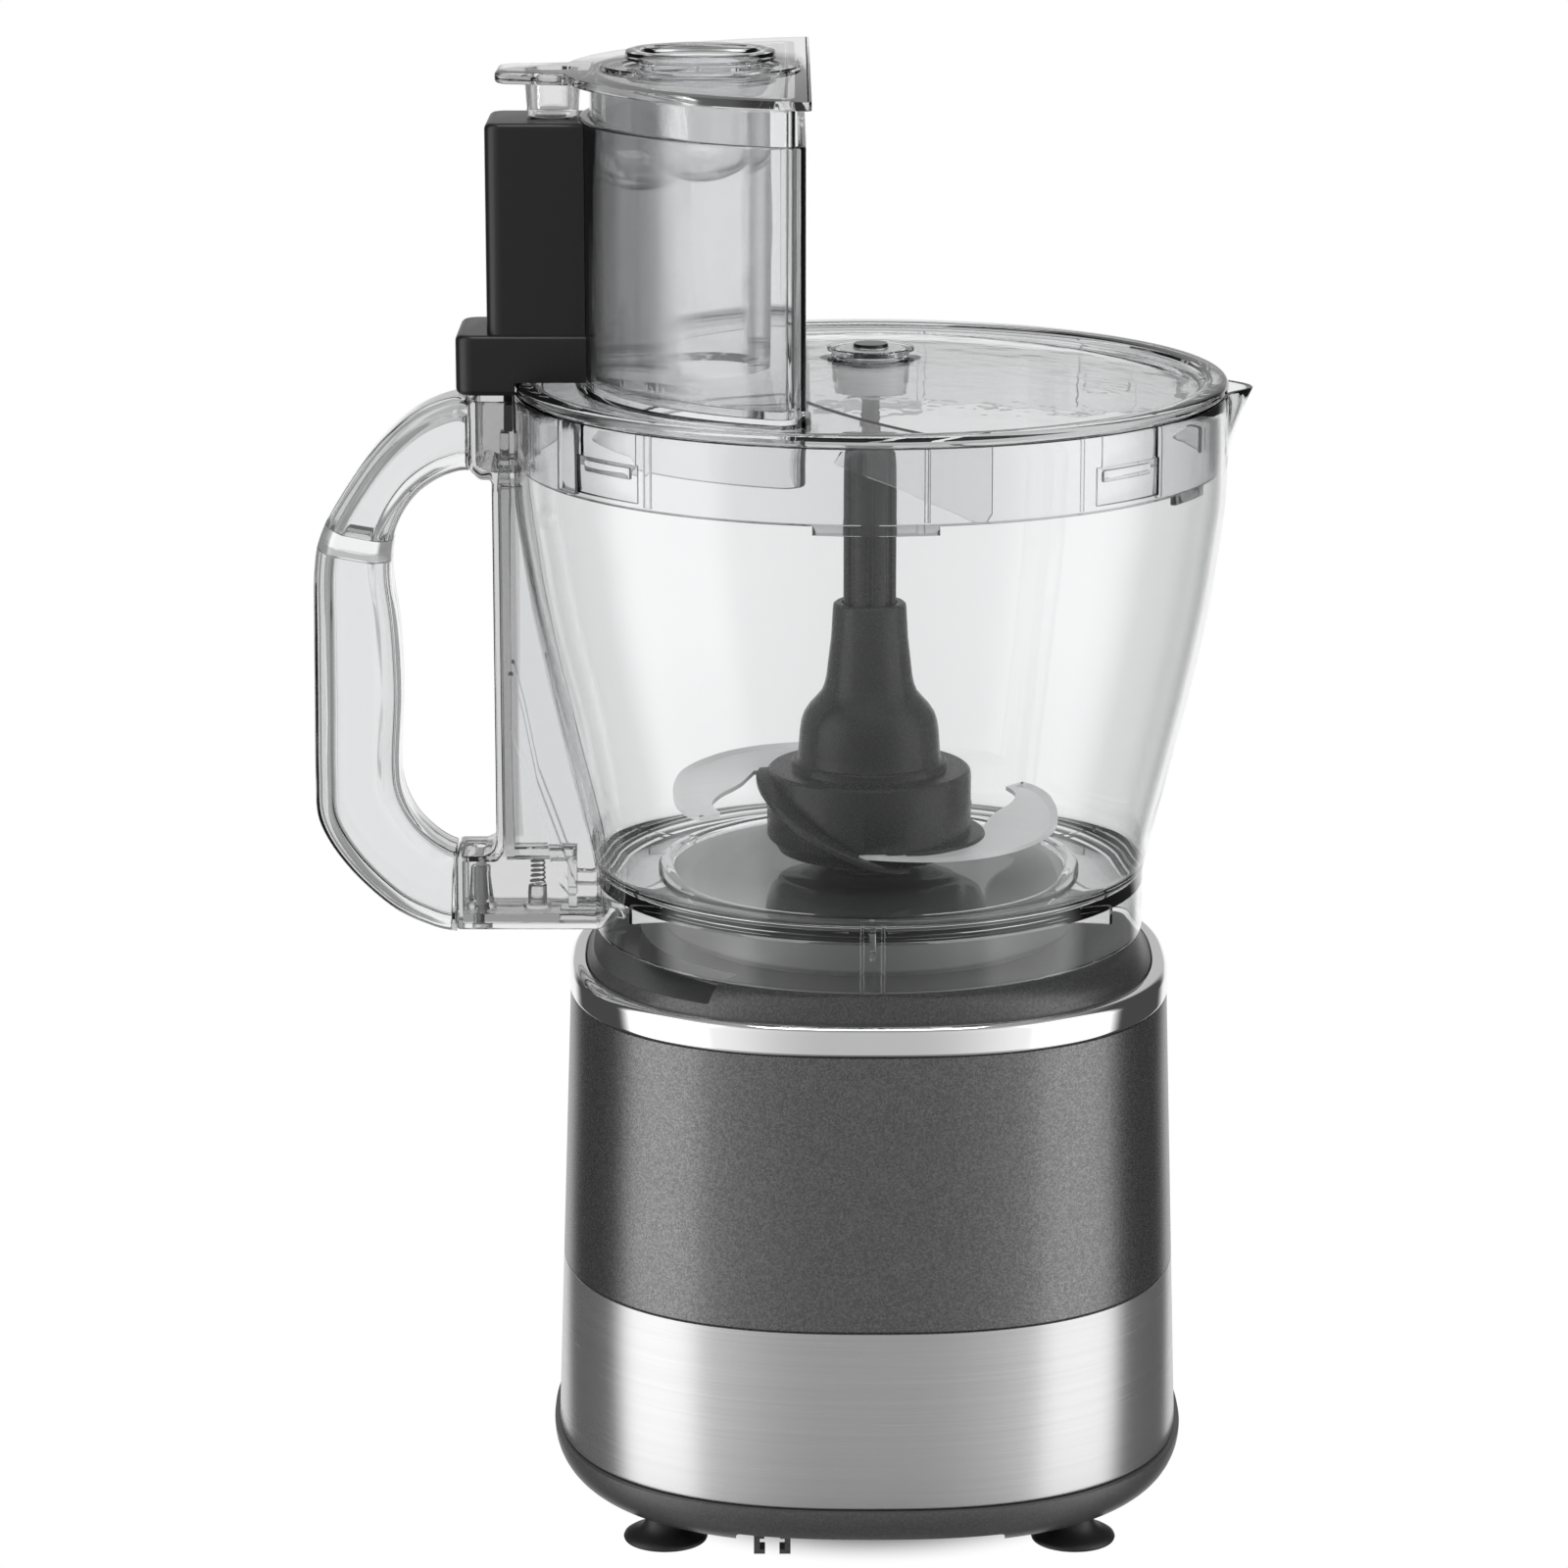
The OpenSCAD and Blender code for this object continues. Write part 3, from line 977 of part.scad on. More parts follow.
cup_x = -51.5;
push_r = tube_in_r - pusher_play;
push_flat = tube_flat + tube_wall + pusher_play;
z_push = z_lid + 3;
module pusher_plate() {
    edge = 5;
    translate([0, 0, z_plate]) linear_extrude(plate_t) union() {
        intersection() {
            circle(r = tube_r + edge);
            translate([-tube_r - edge, -tube_r - edge]) square([tube_r + edge - tube_flat + 1.5, 2 * (tube_r + edge)]);
        }
        // the tab that reaches over the black cover
        hull() {
            translate([peg_x - 12, 0]) for (y = [-7.5, 7.5]) translate([0, y]) circle(r = 5, $fn = 48);
            translate([-tube_r + 3, -17]) square([6, 34]);
        }
    }
}
module pusher() color([0.9, 0.9, 0.9, 0.35]) {
    wall = 2;
    difference() {
        union() {
            pusher_plate();
            difference() {
                d_prism(push_r, push_flat, z_push, z_plate + 0.5, 4);
                d_prism(push_r - wall, push_flat + wall, z_push + wall, z_plate - 1, 2.5);
            }
            translate([cup_x, 0, z_push]) cylinder(r = cup_tube_r, h = z_plate - z_push + 1);
            // the collar round the hole
            translate([cup_x, 0, z_plate + plate_t - 0.2]) ring(cup_tube_r + 8.6, cup_tube_r + 3.4, 1.4);
            // the peg that presses the plunger
            translate([peg_x, 0, tower_top() + 0.6]) cylinder(r1 = 7.7, r2 = 8.7, h = z_plate - tower_top());
            block(peg_x - 5.5, peg_x + 4, 11, peg_end, z_plate);
        }
        translate([cup_x, 0, z_push - 1]) cylinder(r = cup_tube_r - wall, h = z_plate - z_push + 10);
        // the peg is hollow from above
        translate([peg_x, 0, tower_top() + 3]) cylinder(r = 6, h = z_plate - tower_top() + 3);
    }
}
cup_r = cup_tube_r - 2 - 2.2;
flange_r = cup_tube_r + 1.8;
z_cup = z_plate + plate_t + 2.6;
module small_pusher() color([0.9, 0.9, 0.9, 0.35]) translate([cup_x, 0, 0]) {
    wall = 1.8;
    low = z_cup - cup_len;
    round_h = 13;
    rotate_extrude() polygon([
        for (a = [-90 : 10 : 0]) [cup_r * cos(a), low + round_h + round_h * sin(a)],
        [cup_r, z_cup - 1], [cup_r + 1.5, z_cup], [flange_r - 1, z_cup], [flange_r, z_cup + 0.8],
        [flange_r, z_cup + 2.2], [flange_r - 0.8, z_cup + 3], [cup_r + 0.2, z_cup + 3],
        [cup_r - wall + 0.3, z_cup + 2], [cup_r - wall, z_cup],
        for (a = [0 : -10 : -90]) [(cup_r - wall) * cos(a), low + round_h + (round_h - wall) * sin(a)]]);
    // three small fins that rest on the pusher's plate
    for (a = [30 : 120 : 270]) rotate(a) translate([cup_r - 1, -0.8, z_plate + plate_t + touch])
        cube([cup_tube_r - cup_r + 2, 1.6, z_cup - z_plate - plate_t]);
}

// ---------- output ----------

bottom_tray();
steel_band();
upper_housing();
chrome_ring();
top_deck();
foot_at(0);  // suction_foot_1
foot_at(1);  // suction_foot_2
foot_at(2);  // suction_foot_3
foot_at(3);  // suction_foot_4
cord_clip();
cord_gland();
case_screws();
chassis();
motor_stator();
motor_brackets();
motor_rotor();
motor_fan();
motor_pulley();
drive_belt();
driven_pulley();
output_spindle();
lower_bearing();
upper_bearing();
control_board();
rotary_switch();
dial_bezel();
speed_dial();
safety_switch();
bowl();
bowl_bracket();
handle_grip();
grip_screws();
lock_rod();
rod_spring();
drive_shaft();
blade_hub();
upper_blade();
lower_blade();
hub_cap();
lid();
lid_bearing();
lid_pin();
lock_cover();
plunger();
plunger_spring();
pusher();
small_pusher();
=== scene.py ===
# %% [markdown]
# A food processor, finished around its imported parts. The frame holds every part at its real size, in
# metres, and this file adds the looks: smooth mouldings in place of the plain ones, and a finish on each
# part. Sizes below are in millimetres and are turned into metres as each mesh is made.

# %% Load the frame
import bpy
import bmesh
from math import atan2, cos, degrees, hypot, pi, radians, sin, sqrt
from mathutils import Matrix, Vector


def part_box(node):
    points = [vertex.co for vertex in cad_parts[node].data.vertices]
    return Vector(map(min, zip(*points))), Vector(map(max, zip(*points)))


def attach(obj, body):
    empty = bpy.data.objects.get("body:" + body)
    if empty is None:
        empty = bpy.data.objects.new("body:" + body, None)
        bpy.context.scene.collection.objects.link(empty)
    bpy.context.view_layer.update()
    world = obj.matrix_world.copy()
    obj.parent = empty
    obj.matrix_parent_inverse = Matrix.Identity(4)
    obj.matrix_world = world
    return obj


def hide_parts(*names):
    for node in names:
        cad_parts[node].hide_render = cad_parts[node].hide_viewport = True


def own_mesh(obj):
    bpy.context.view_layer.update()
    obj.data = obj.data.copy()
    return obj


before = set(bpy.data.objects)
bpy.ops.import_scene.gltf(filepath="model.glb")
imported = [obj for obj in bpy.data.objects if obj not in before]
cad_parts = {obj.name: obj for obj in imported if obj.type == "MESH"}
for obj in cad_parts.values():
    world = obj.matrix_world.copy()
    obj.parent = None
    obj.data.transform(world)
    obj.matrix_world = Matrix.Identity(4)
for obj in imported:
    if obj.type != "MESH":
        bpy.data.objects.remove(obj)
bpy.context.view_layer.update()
MM = 0.001

# %% [markdown]
# The camera is a long lens a little above the worktop. It could stand closer with a wider lens, but then
# the bowl would spread at its rim, so the lens is long and the camera stands well back.

# %% Camera
bpy.ops.object.select_all(action="DESELECT")
bpy.ops.object.camera_add(location=(-0.0264, -1.566, 0.6153), rotation=(radians(76), 0, 0))
camera = bpy.context.object
camera.name = "camera"
camera.data.sensor_width = 36
camera.data.lens = 119.25
camera.data.clip_end = 60
bpy.context.scene.camera = camera
bpy.context.scene.view_settings.view_transform = "Standard"
print("camera lens", round(camera.data.lens, 2), "mm")

# %% [markdown]
# Every piece starts as a primitive that Blender adds. An operator works on all that is selected, and the
# frame's nodes come in selected, so one helper clears the selection and takes a single piece in hand.


# %% Helpers: selecting and naming
def take(piece):
    """Only this piece is selected and active."""
    bpy.ops.object.select_all(action="DESELECT")
    piece.select_set(True)
    bpy.context.view_layer.objects.active = piece
    return piece


def newest(name):
    """The primitive that was just added, under its own name."""
    piece = bpy.context.object
    piece.name = name
    piece.data.name = name
    return piece


def place_points(piece, points):
    """Moves each vertex of a primitive to its point, given in millimetres."""
    assert len(piece.data.vertices) == len(points), (piece.name, len(piece.data.vertices), len(points))
    piece.data.vertices.foreach_set("co", [value * MM for point in points for value in point])
    piece.data.update()


def close_up(piece, gap=0.004, turn=True):
    """Merges points that lie together, drops loose edges and turns faces outwards. A sealed hollow keeps
    its faces towards the hollow, so a piece that has one isn't turned."""
    take(piece)
    bpy.ops.object.mode_set(mode="EDIT")
    bpy.ops.mesh.select_all(action="SELECT")
    bpy.ops.mesh.remove_doubles(threshold=gap * MM)
    bpy.ops.mesh.delete_loose(use_verts=True, use_edges=True, use_faces=False)
    if turn:
        bpy.ops.mesh.select_all(action="SELECT")
        bpy.ops.mesh.normals_make_consistent(inside=False)
    bpy.ops.object.mode_set(mode="OBJECT")
    return piece


def smooth(piece, angle):
    """Smooth shading, with a crisp line wherever two faces meet at more than the angle."""
    take(piece)
    bpy.ops.object.shade_smooth_by_angle(angle=radians(angle))
    return piece


def apply(piece, kind, **settings):
    """Adds one modifier with its settings and applies it."""
    take(piece)
    modifier = piece.modifiers.new(kind.title(), kind)
    for key, value in settings.items():
        setattr(modifier, key, value)
    bpy.ops.object.modifier_apply(modifier=modifier.name)
    return piece


def soften(piece, radius, segments=3, angle=35):
    """Rounds the sharp edges by a radius in millimetres."""
    return apply(piece, "BEVEL", width=radius * MM, segments=segments, limit_method="ANGLE",
                 angle_limit=radians(angle), miter_outer="MITER_ARC", use_clamp_overlap=True)


def boolean(piece, tool, operation="DIFFERENCE", crossing=False):
    """Cuts, joins or intersects a piece with a tool, which is then thrown away. Crossing is for a tool
    whose own parts overlap."""
    apply(piece, "BOOLEAN", operation=operation, object=tool, solver="EXACT", use_self=crossing)
    bpy.data.objects.remove(tool)
    return piece


def cut(piece, *tools):
    """Takes each tool away from the piece, one after the other."""
    for tool in tools:
        boolean(piece, tool)
    return piece


def add(piece, *tools):
    """Joins each tool to the piece, one after the other."""
    for tool in tools:
        boolean(piece, tool, "UNION")
    return piece


def turn_piece(piece, angle, axis="Z", centre=(0, 0, 0)):
    """Turns a piece by some degrees and applies that, so that it stands unturned at the origin."""
    take(piece)
    bpy.ops.transform.rotate(value=radians(angle), orient_axis=axis, center_override=centre)
    bpy.ops.object.transform_apply(location=True, rotation=True, scale=True)
    return piece


# %% [markdown]
# Three kinds of form make up most of the machine. A moulding with an oblong outline is a skin through
# rings, and a grid whose rows are laid on those rings gives it, with its seam merged. A round piece is a
# closed profile that is spun about the drive axis. A flat or straight-sided piece is an outline that is
# extruded and bevelled.


# %% Helpers: rings, turned forms and plates
def skin(name, rings, closed=False):
    """A skin through rings of equal point count. Closed joins the last ring to the first."""
    rows = rings + [rings[0]] if closed else rings
    around = len(rings[0])
    bpy.ops.object.select_all(action="DESELECT")
    bpy.ops.mesh.primitive_grid_add(x_subdivisions=around, y_subdivisions=len(rows) - 1, size=1)
    piece = newest(name)
    place_points(piece, [point for row in rows for point in row + [row[0]]])
    return close_up(piece)


def turned(name, profile, steps, centre=(0, 0)):
    """Spins a closed profile of (radius, height) points about an upright axis."""
    bpy.ops.object.select_all(action="DESELECT")
    bpy.ops.mesh.primitive_circle_add(vertices=len(profile), radius=1)
    piece = newest(name)
    place_points(piece, [(r + centre[0], centre[1], z) for r, z in profile])
    take(piece)
    bpy.ops.object.mode_set(mode="EDIT")
    bpy.ops.mesh.select_all(action="SELECT")
    middle = (centre[0] * MM, centre[1] * MM, 0)
    bpy.ops.mesh.spin(steps=steps, angle=2 * pi, center=middle, axis=(0, 0, 1))
    bpy.ops.object.mode_set(mode="OBJECT")
    return close_up(piece)


def plate(name, outline, low, high, bevel=0, segments=3, upright=False):
    """Extrudes an outline from low to high, along Z, or along Y when the outline is upright (x, z)."""
    bpy.ops.object.select_all(action="DESELECT")
    bpy.ops.mesh.primitive_circle_add(vertices=len(outline), radius=1, fill_type="NGON")
    piece = newest(name)
    place_points(piece, [(x, low, y) if upright else (x, y, low) for x, y in outline])
    take(piece)
    depth = (high - low) * MM
    bpy.ops.object.mode_set(mode="EDIT")
    bpy.ops.mesh.select_all(action="SELECT")
    bpy.ops.mesh.extrude_region_move(
        TRANSFORM_OT_translate={"value": (0, depth, 0) if upright else (0, 0, depth)})
    bpy.ops.object.mode_set(mode="OBJECT")
    close_up(piece)
    if bevel:
        soften(piece, bevel, segments)
    return piece


def block(name, low, high, bevel=0, segments=3):
    """A bevelled block between two corners."""
    outline = [(low[0], low[1]), (high[0], low[1]), (high[0], high[1]), (low[0], high[1])]
    return plate(name, outline, low[2], high[2], bevel, segments)


def rod(name, centre, radius, length, axis="Z", sides=48, bevel=0):
    """A round bar that starts at its centre point and runs along an axis."""
    ring = [(radius * cos(2 * pi * k / sides), radius * sin(2 * pi * k / sides)) for k in range(sides)]
    if axis == "Z":
        return plate(name, [(centre[0] + u, centre[1] + v) for u, v in ring],
                     centre[2], centre[2] + length, bevel)
    return plate(name, [(centre[0] + u, centre[2] + v) for u, v in ring],
                 centre[1], centre[1] + length, bevel, upright=True)


def polar(r, turn):
    """The point at a radius and an angle in degrees."""
    return (r * cos(radians(turn)), r * sin(radians(turn)))


def arc(cx, cy, radius, start, stop, steps):
    """Points on an arc from one angle in degrees to another."""
    angles = [radians(start + (stop - start) * k / steps) for k in range(steps + 1)]
    return [(cx + radius * cos(a), cy + radius * sin(a)) for a in angles]


def pinch(ring):
    """The ring's middle, repeated, so that a skin closes there."""
    centre = tuple(sum(p[i] for p in ring) / len(ring) for i in range(3))
    return [centre] * len(ring)


def capped(name, rings):
    """A skin through rings that is closed at both ends."""
    return skin(name, [pinch(rings[0])] + rings + [pinch(rings[-1])])


def join(pieces, name):
    """Several meshes in one object."""
    take(pieces[0])
    for piece in pieces[1:]:
        piece.select_set(True)
    bpy.ops.object.join()
    return newest(name)


def lerp(a, b, t):
    return a + (b - a) * t


def smoothstep(t):
    t = min(1, max(0, t))
    return t * t * (3 - 2 * t)


print("helpers ready")

# %% [markdown]
# A finish is a small tree of nodes. Writing each Math node by hand hides the formula, so one class wraps
# a socket and lets it stand in a sum, and one method adds any other node with its settings and sockets.


# %% Shader maths
class Value:
    """An output socket. A sum on it adds the Math node that works it out."""

    def __init__(self, finish, socket):
        self.finish = finish
        self.socket = socket

    def math(self, operation, first, second):
        return self.finish.node("ShaderNodeMath", {"operation": operation}, {0: first, 1: second})

    def __add__(self, other):
        return self.math("ADD", self, other)

    def __radd__(self, other):
        return self.math("ADD", other, self)

    def __sub__(self, other):
        return self.math("SUBTRACT", self, other)

    def __rsub__(self, other):
        return self.math("SUBTRACT", other, self)

    def __mul__(self, other):
        return self.math("MULTIPLY", self, other)

    def at_least(self, other):
        return self.math("MAXIMUM", self, other)


class Finish:
    """A material under construction."""

    def __init__(self, name, target=None):
        if target is None:
            target = bpy.data.materials.new(name)
        self.material = target
        target.use_nodes = True
        self.tree = target.node_tree
        self.tree.nodes.clear()

    def node(self, kind, settings=None, sockets=None, output=0):
        made = self.tree.nodes.new(kind)
        for key, setting in (settings or {}).items():
            if key == "stops":
                ramp = made.color_ramp.elements
                for stop, (place, level) in zip(ramp, setting):
                    stop.position = place
                    stop.color = (level, level, level, 1)
            else:
                setattr(made, key, setting)
        for key, value in (sockets or {}).items():
            if isinstance(value, Value):
                self.tree.links.new(value.socket, made.inputs[key])
            else:
                made.inputs[key].default_value = value
        return Value(self, made.outputs[output])

    def place(self, scale=(1, 1, 1)):
        """The piece's own coordinates in metres, stretched by a scale."""
        here = self.node("ShaderNodeTexCoord", output="Object")
        return self.node("ShaderNodeMapping", {}, {"Vector": here, "Scale": scale})

    def noise(self, scale, detail=2.0, stretch=(1, 1, 1), roughness=0.5):
        return self.node("ShaderNodeTexNoise", {}, {"Vector": self.place(stretch), "Scale": scale,
                                                    "Detail": detail, "Roughness": roughness})

    def cells(self, scale):
        """A chance colour for each small cell."""
        return self.node("ShaderNodeTexVoronoi", {}, {"Vector": self.place(), "Scale": scale}, "Color")

    def mix(self, factor, first, second):
        """A colour between two others."""
        return self.node("ShaderNodeMix", {"data_type": "RGBA"}, {0: factor, 6: first, 7: second}, 2)

    def ramp(self, value, low, high):
        """0 below low and 1 above high."""
        return self.node("ShaderNodeValToRGB", {"stops": [(low, 0), (high, 1)]}, {0: value})

    def step(self, value, low, high):
        """Eases from 0 at low to 1 at high."""
        return self.node("ShaderNodeMapRange", {"interpolation_type": "SMOOTHSTEP"},
                         {"Value": value, "From Min": low, "From Max": high})

    def ray(self, kind):
        """1 for rays of this kind."""
        return self.node("ShaderNodeLightPath", output=kind)

    def split(self, vector):
        """The X, Y and Z parts of a vector."""
        return [self.node("ShaderNodeSeparateXYZ", {}, {0: vector}, k) for k in range(3)]

    def bump(self, height, distance, strength=1.0):
        return self.node("ShaderNodeBump", {}, {"Height": height, "Distance": distance * MM,
                                                "Strength": strength})

    def surface(self, **sockets):
        """The main shader, wired to the output. Socket names are written with _ for a space."""
        named = {key.replace("_", " "): value for key, value in sockets.items()}
        self.output(self.node("ShaderNodeBsdfPrincipled", {}, named))
        return self.material

    def output(self, shader):
        end = self.tree.nodes.new("ShaderNodeOutputMaterial")
        self.tree.links.new(shader.socket, end.inputs["Surface"])
        return self.material


def grey(level):
    """A neutral colour with alpha."""
    return (level, level, level, 1)


def dress(piece, material):
    """Gives the piece one material."""
    piece.data.materials.clear()
    piece.data.materials.append(material)
    return piece


def hand_over(piece, body, slot, material, *nodes):
    """A finished piece rides on its body, stands for its nodes and takes its finish."""
    dress(piece, material)
    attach(piece, body)
    if nodes:
        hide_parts(*nodes)
    print(f"{piece.name}: {len(piece.data.polygons)} faces on {body}")
    return piece


# %% [markdown]
# The opaque finishes. The casing is metallic paint: pale flakes in a dark coat, so the colour and the
# roughness both follow small cells. The band is brushed along its length, which is noise stretched
# sideways and squeezed in height. Moulded plastics have a fine spark-eroded grain that only the bump
# and a little roughness show.


# %% Painted and plain metals
def flake_paint(name, dark, light, rough, metal, painted_sheen=None):
    """Paint with flakes. Between a low and a high height in mm, if given, the paint is about twice as
    light: a painted reflection.
    """
    f = Finish(name)
    flakes = f.ramp(f.cells(2300), 0.25, 0.95)
    clouds = f.noise(900, 3)
    tone = flakes * 0.7 + clouds * 0.3
    colour = f.mix(tone, grey(dark), grey(light))
    if painted_sheen:
        # painted reflection: between the two heights the paint is lightened to about twice as light
        z = f.split(f.place())[2]
        low, high = (height * MM for height in painted_sheen)
        inside = f.step(z, low, low + MM) - f.step(z, high - MM, high)
        colour = f.mix(inside, colour, grey(dark + light))
    grain = f.bump(clouds, 0.01, 0.3)
    return f.surface(Base_Color=colour, Metallic=metal, Roughness=rough + clouds * 0.06, Normal=grain)


def brushed(name, level, rough, stretch, depth=0.006, metal=1.0):
    f = Finish(name)
    lines = f.noise(1.0, 4, stretch, 0.65)
    broad = f.noise(1.0, 2, tuple(s * 0.22 for s in stretch))
    colour = f.mix(lines * 0.7 + broad * 0.3, grey(level * 0.84), grey(level * 1.12))
    return f.surface(Base_Color=colour, Metallic=metal, Roughness=rough - 0.07 + lines * 0.16,
                     Normal=f.bump(lines, depth, 0.5))


def polished(name, level, rough=0.05):
    f = Finish(name)
    haze = f.noise(60, 3)
    colour = f.mix(haze, grey(level * 0.97), grey(level))
    return f.surface(Base_Color=colour, Metallic=1.0, Roughness=rough + haze * 0.04)


paint = flake_paint("housing_paint", 0.085, 0.2, 0.24, 0.87)
# the drum's side, from 182 to 197 mm, is lightened as a painted reflection
deck_paint = flake_paint("deck_paint", 0.055, 0.11, 0.34, 0.75, painted_sheen=(182, 197))
tray_paint = flake_paint("tray_paint", 0.05, 0.085, 0.36, 0.4)
band_steel = brushed("band_steel", 0.46, 0.23, (14, 14, 2600), metal=0.88)
blade_steel = brushed("blade_steel", 0.82, 0.34, (120, 1500, 120), 0.004, metal=0.55)
chrome = polished("ring_chrome", 0.86)
shaft_steel = brushed("shaft_steel", 0.6, 0.3, (900, 900, 90))
screw_steel = brushed("screw_steel", 0.75, 0.35, (700, 700, 700), metal=0.6)
black_steel = polished("black_steel", 0.05, 0.16)
spring_steel = polished("spring_wire", 0.35, 0.25)
dial_metal = brushed("dial_metal", 0.62, 0.28, (900, 60, 900))
print("metals ready")


# %% Mouldings, rubber and the parts inside
def moulded(name, level, rough, grain, depth, tint=None, coat=0.0, ior=1.5):
    """Moulded plastic or rubber: an even colour, a fine grain and faint flow clouds."""
    f = Finish(name)
    fine = f.noise(grain, 3)
    clouds = f.noise(35, 2)
    base = tint or grey(level)
    darker = tuple(c * 0.92 for c in base[:3]) + (1,)
    colour = f.mix(clouds * 0.6 + fine * 0.4, darker, base)
    return f.surface(Base_Color=colour, Roughness=rough - 0.03 + fine * 0.06, Coat_Weight=coat, IOR=ior,
                     Coat_Roughness=0.3, Normal=f.bump(fine, depth, 0.5))


cover_black = moulded("cover_black", 0.004, 0.33, 1500, 0.012, ior=1.42)
foot_rubber = moulded("foot_rubber", 0.008, 0.5, 900, 0.012)
belt_rubber = moulded("belt_rubber", 0.02, 0.7, 700, 0.05)
hub_grey = moulded("hub_grey", 0.02, 0.27, 2600, 0.001)
shaft_grey = moulded("shaft_grey", 0.018, 0.27, 2600, 0.001)
dark_plastic = moulded("dark_plastic", 0.03, 0.45, 900, 0.03)
bush_white = moulded("bush_white", 0.75, 0.35, 1200, 0.01)
copper = moulded("copper_winding", 0.3, 0.35, 500, 0.1, tint=(0.55, 0.24, 0.08, 1), coat=0.5)
board_green = moulded("board_green", 0.1, 0.4, 800, 0.03, tint=(0.02, 0.16, 0.07, 1), coat=0.4)
iron = brushed("stacked_iron", 0.28, 0.45, (60, 60, 2500))
alloy = brushed("cast_alloy", 0.5, 0.5, (420, 420, 420), 0.03)
bronze_finish = Finish("bronze_bush")
bronze_tone = bronze_finish.mix(bronze_finish.noise(700, 3), (0.42, 0.26, 0.1, 1), (0.6, 0.4, 0.18, 1))
bronze = bronze_finish.surface(Base_Color=bronze_tone, Metallic=1.0, Roughness=0.35)
print("plastics ready")


# %% [markdown]
# The bowl, lid, pushers, grip and lock rod are clear plastic with a slight grey cast. Real glass in a
# renderer throws dark shadows, because light can't find its way through. So the shader is glass for
# every ray but those that look for a lamp, and those pass straight through.


# %% Clear plastic
def clear(name, tint, flow, wave, painted_shade=(), thin_top=None):
    """Clear plastic. Flow stretches the faint waves that moulding leaves in its skin. Each shaded place
    is an axis, a start and an end in mm, and the darker tint past that end: painted shade where light
    runs along the plastic.
    Below thin_top the wall is so thin that it only bends light seen at a slant."""
    f = Finish(name)
    streaks = f.noise(12, 2)
    waves = f.bump(f.noise(1.0, 2, flow, 0.4), wave, 1.0)
    colour = f.mix(streaks, tuple(c * 0.985 for c in tint[:3]) + (1,), tint)
    straight = 1
    # painted shade: past each given place the tint is darkened
    for axis, start, stop, level in painted_shade:
        past = f.step(f.split(f.place())[axis], start * MM, stop * MM)
        colour = f.mix(past, colour, grey(level))
        straight = (1 - past * (1 - level)) * straight
    body = f.node("ShaderNodeBsdfPrincipled", {}, {
        "Base Color": colour, "Normal": waves, "Transmission Weight": 1.0, "Roughness": 0.0, "IOR": 1.5})
    through = f.node("ShaderNodeBsdfTransparent", {}, {"Color": grey(0.98) if thin_top else tint})
    share = f.ray("Is Shadow Ray")
    if thin_top:
        slant = f.node("ShaderNodeLayerWeight", {}, {"Blend": 0.5}, "Facing")
        low = 1 - f.step(f.split(f.place())[2], (thin_top - 1) * MM, thin_top * MM)
        share = share.at_least((0.96 - f.step(slant, 0.2, 0.5) * 0.96) * low * straight)
    return f.output(f.node("ShaderNodeMixShader", {}, {0: share, 1: body, 2: through}))


clear_bowl = clear("clear_bowl", (0.925, 0.93, 0.932, 1), (22, 22, 22), 0.12)
# painted shade: the bracket's outer post and its low parts get darker tints
clear_bracket = clear("clear_bracket", (0.85, 0.855, 0.86, 1), (60, 60, 20), 0.15,
                      [(0, -107.8, -108.6, 0.64), (2, 205.5, 204, 0.85), (2, 186.6, 186.2, 0.55),
                       (2, 183.4, 183, 0.85), (0, -125.4, -125.8, 0.6)])
clear_lid = clear("clear_lid", (0.9, 0.905, 0.91, 1), (90, 90, 9), 0.06)
clear_grip = clear("clear_grip", (0.91, 0.915, 0.918, 1), (60, 60, 40), 0.2)
# painted shade: the pusher's outer wall and the plate's top get darker tints
clear_pusher = clear("clear_pusher", (0.86, 0.865, 0.87, 1), (90, 90, 2), 0.05,
                     [(0, -62, -80, 0.7), (2, 443, 444, 0.66)], thin_top=443)
clear_cup = clear("clear_cup", (0.92, 0.925, 0.93, 1), (50, 50, 20), 0.05)
print("clear plastics ready")

# %% [markdown]
# The base has a squarish oval outline that narrows towards the top. One formula, a superellipse, gives
# every ring of it, so the tray, band, housing and chrome ring all keep the same outline.

# %% The base's outline
TRAY, BAND, RING = 8, 21, 163            # heights where each of these begins
WALL = 2.4
DIAL_Z = 118
AROUND = 240                              # points round each ring


def half_width(z):
    return lerp(97.8, 93, (z - BAND) / (RING - BAND))


def oval(z, wide, painted_shade, square=2.45):
    """A closed ring at height z. A square of 2 is an ellipse, and more is squarer."""
    ring = []
    for k in range(AROUND):
        c, s = cos(2 * pi * k / AROUND), sin(2 * pi * k / AROUND)
        x = abs(c) ** (2 / square) * (1 if c > 0 else -1)
        y = abs(s) ** (2 / square) * (1 if s > 0 else -1)
        ring.append((wide * x, painted_shade * y, z))
    return ring


def case_ring(z, inset):
    return oval(z, half_width(z) - inset, half_width(z) - 5 - inset)


def case_skin(name, profile):
    """A closed moulding whose section is a list of (height, inset from the casing's outside)."""
    return skin(name, [case_ring(z, inset) for z, inset in profile], closed=True)


# %% [markdown]
# The band is thin steel sheet, and its edges are only rounded enough to catch a line of light. The
# housing above it is painted plastic that reaches down behind the band, where the two lock.

# %% Band, housing and chrome ring
band = case_skin("band", [(21.3, 0.35), (21.5, 0.08), (21.9, 0), (49, 0), (76.3, 0), (76.7, 0.08),
                          (76.85, 0.35), (76.85, 0.9), (21.3, 0.9)])
hand_over(smooth(band, 25), "base", "brushed_band", band_steel, "steel_band")

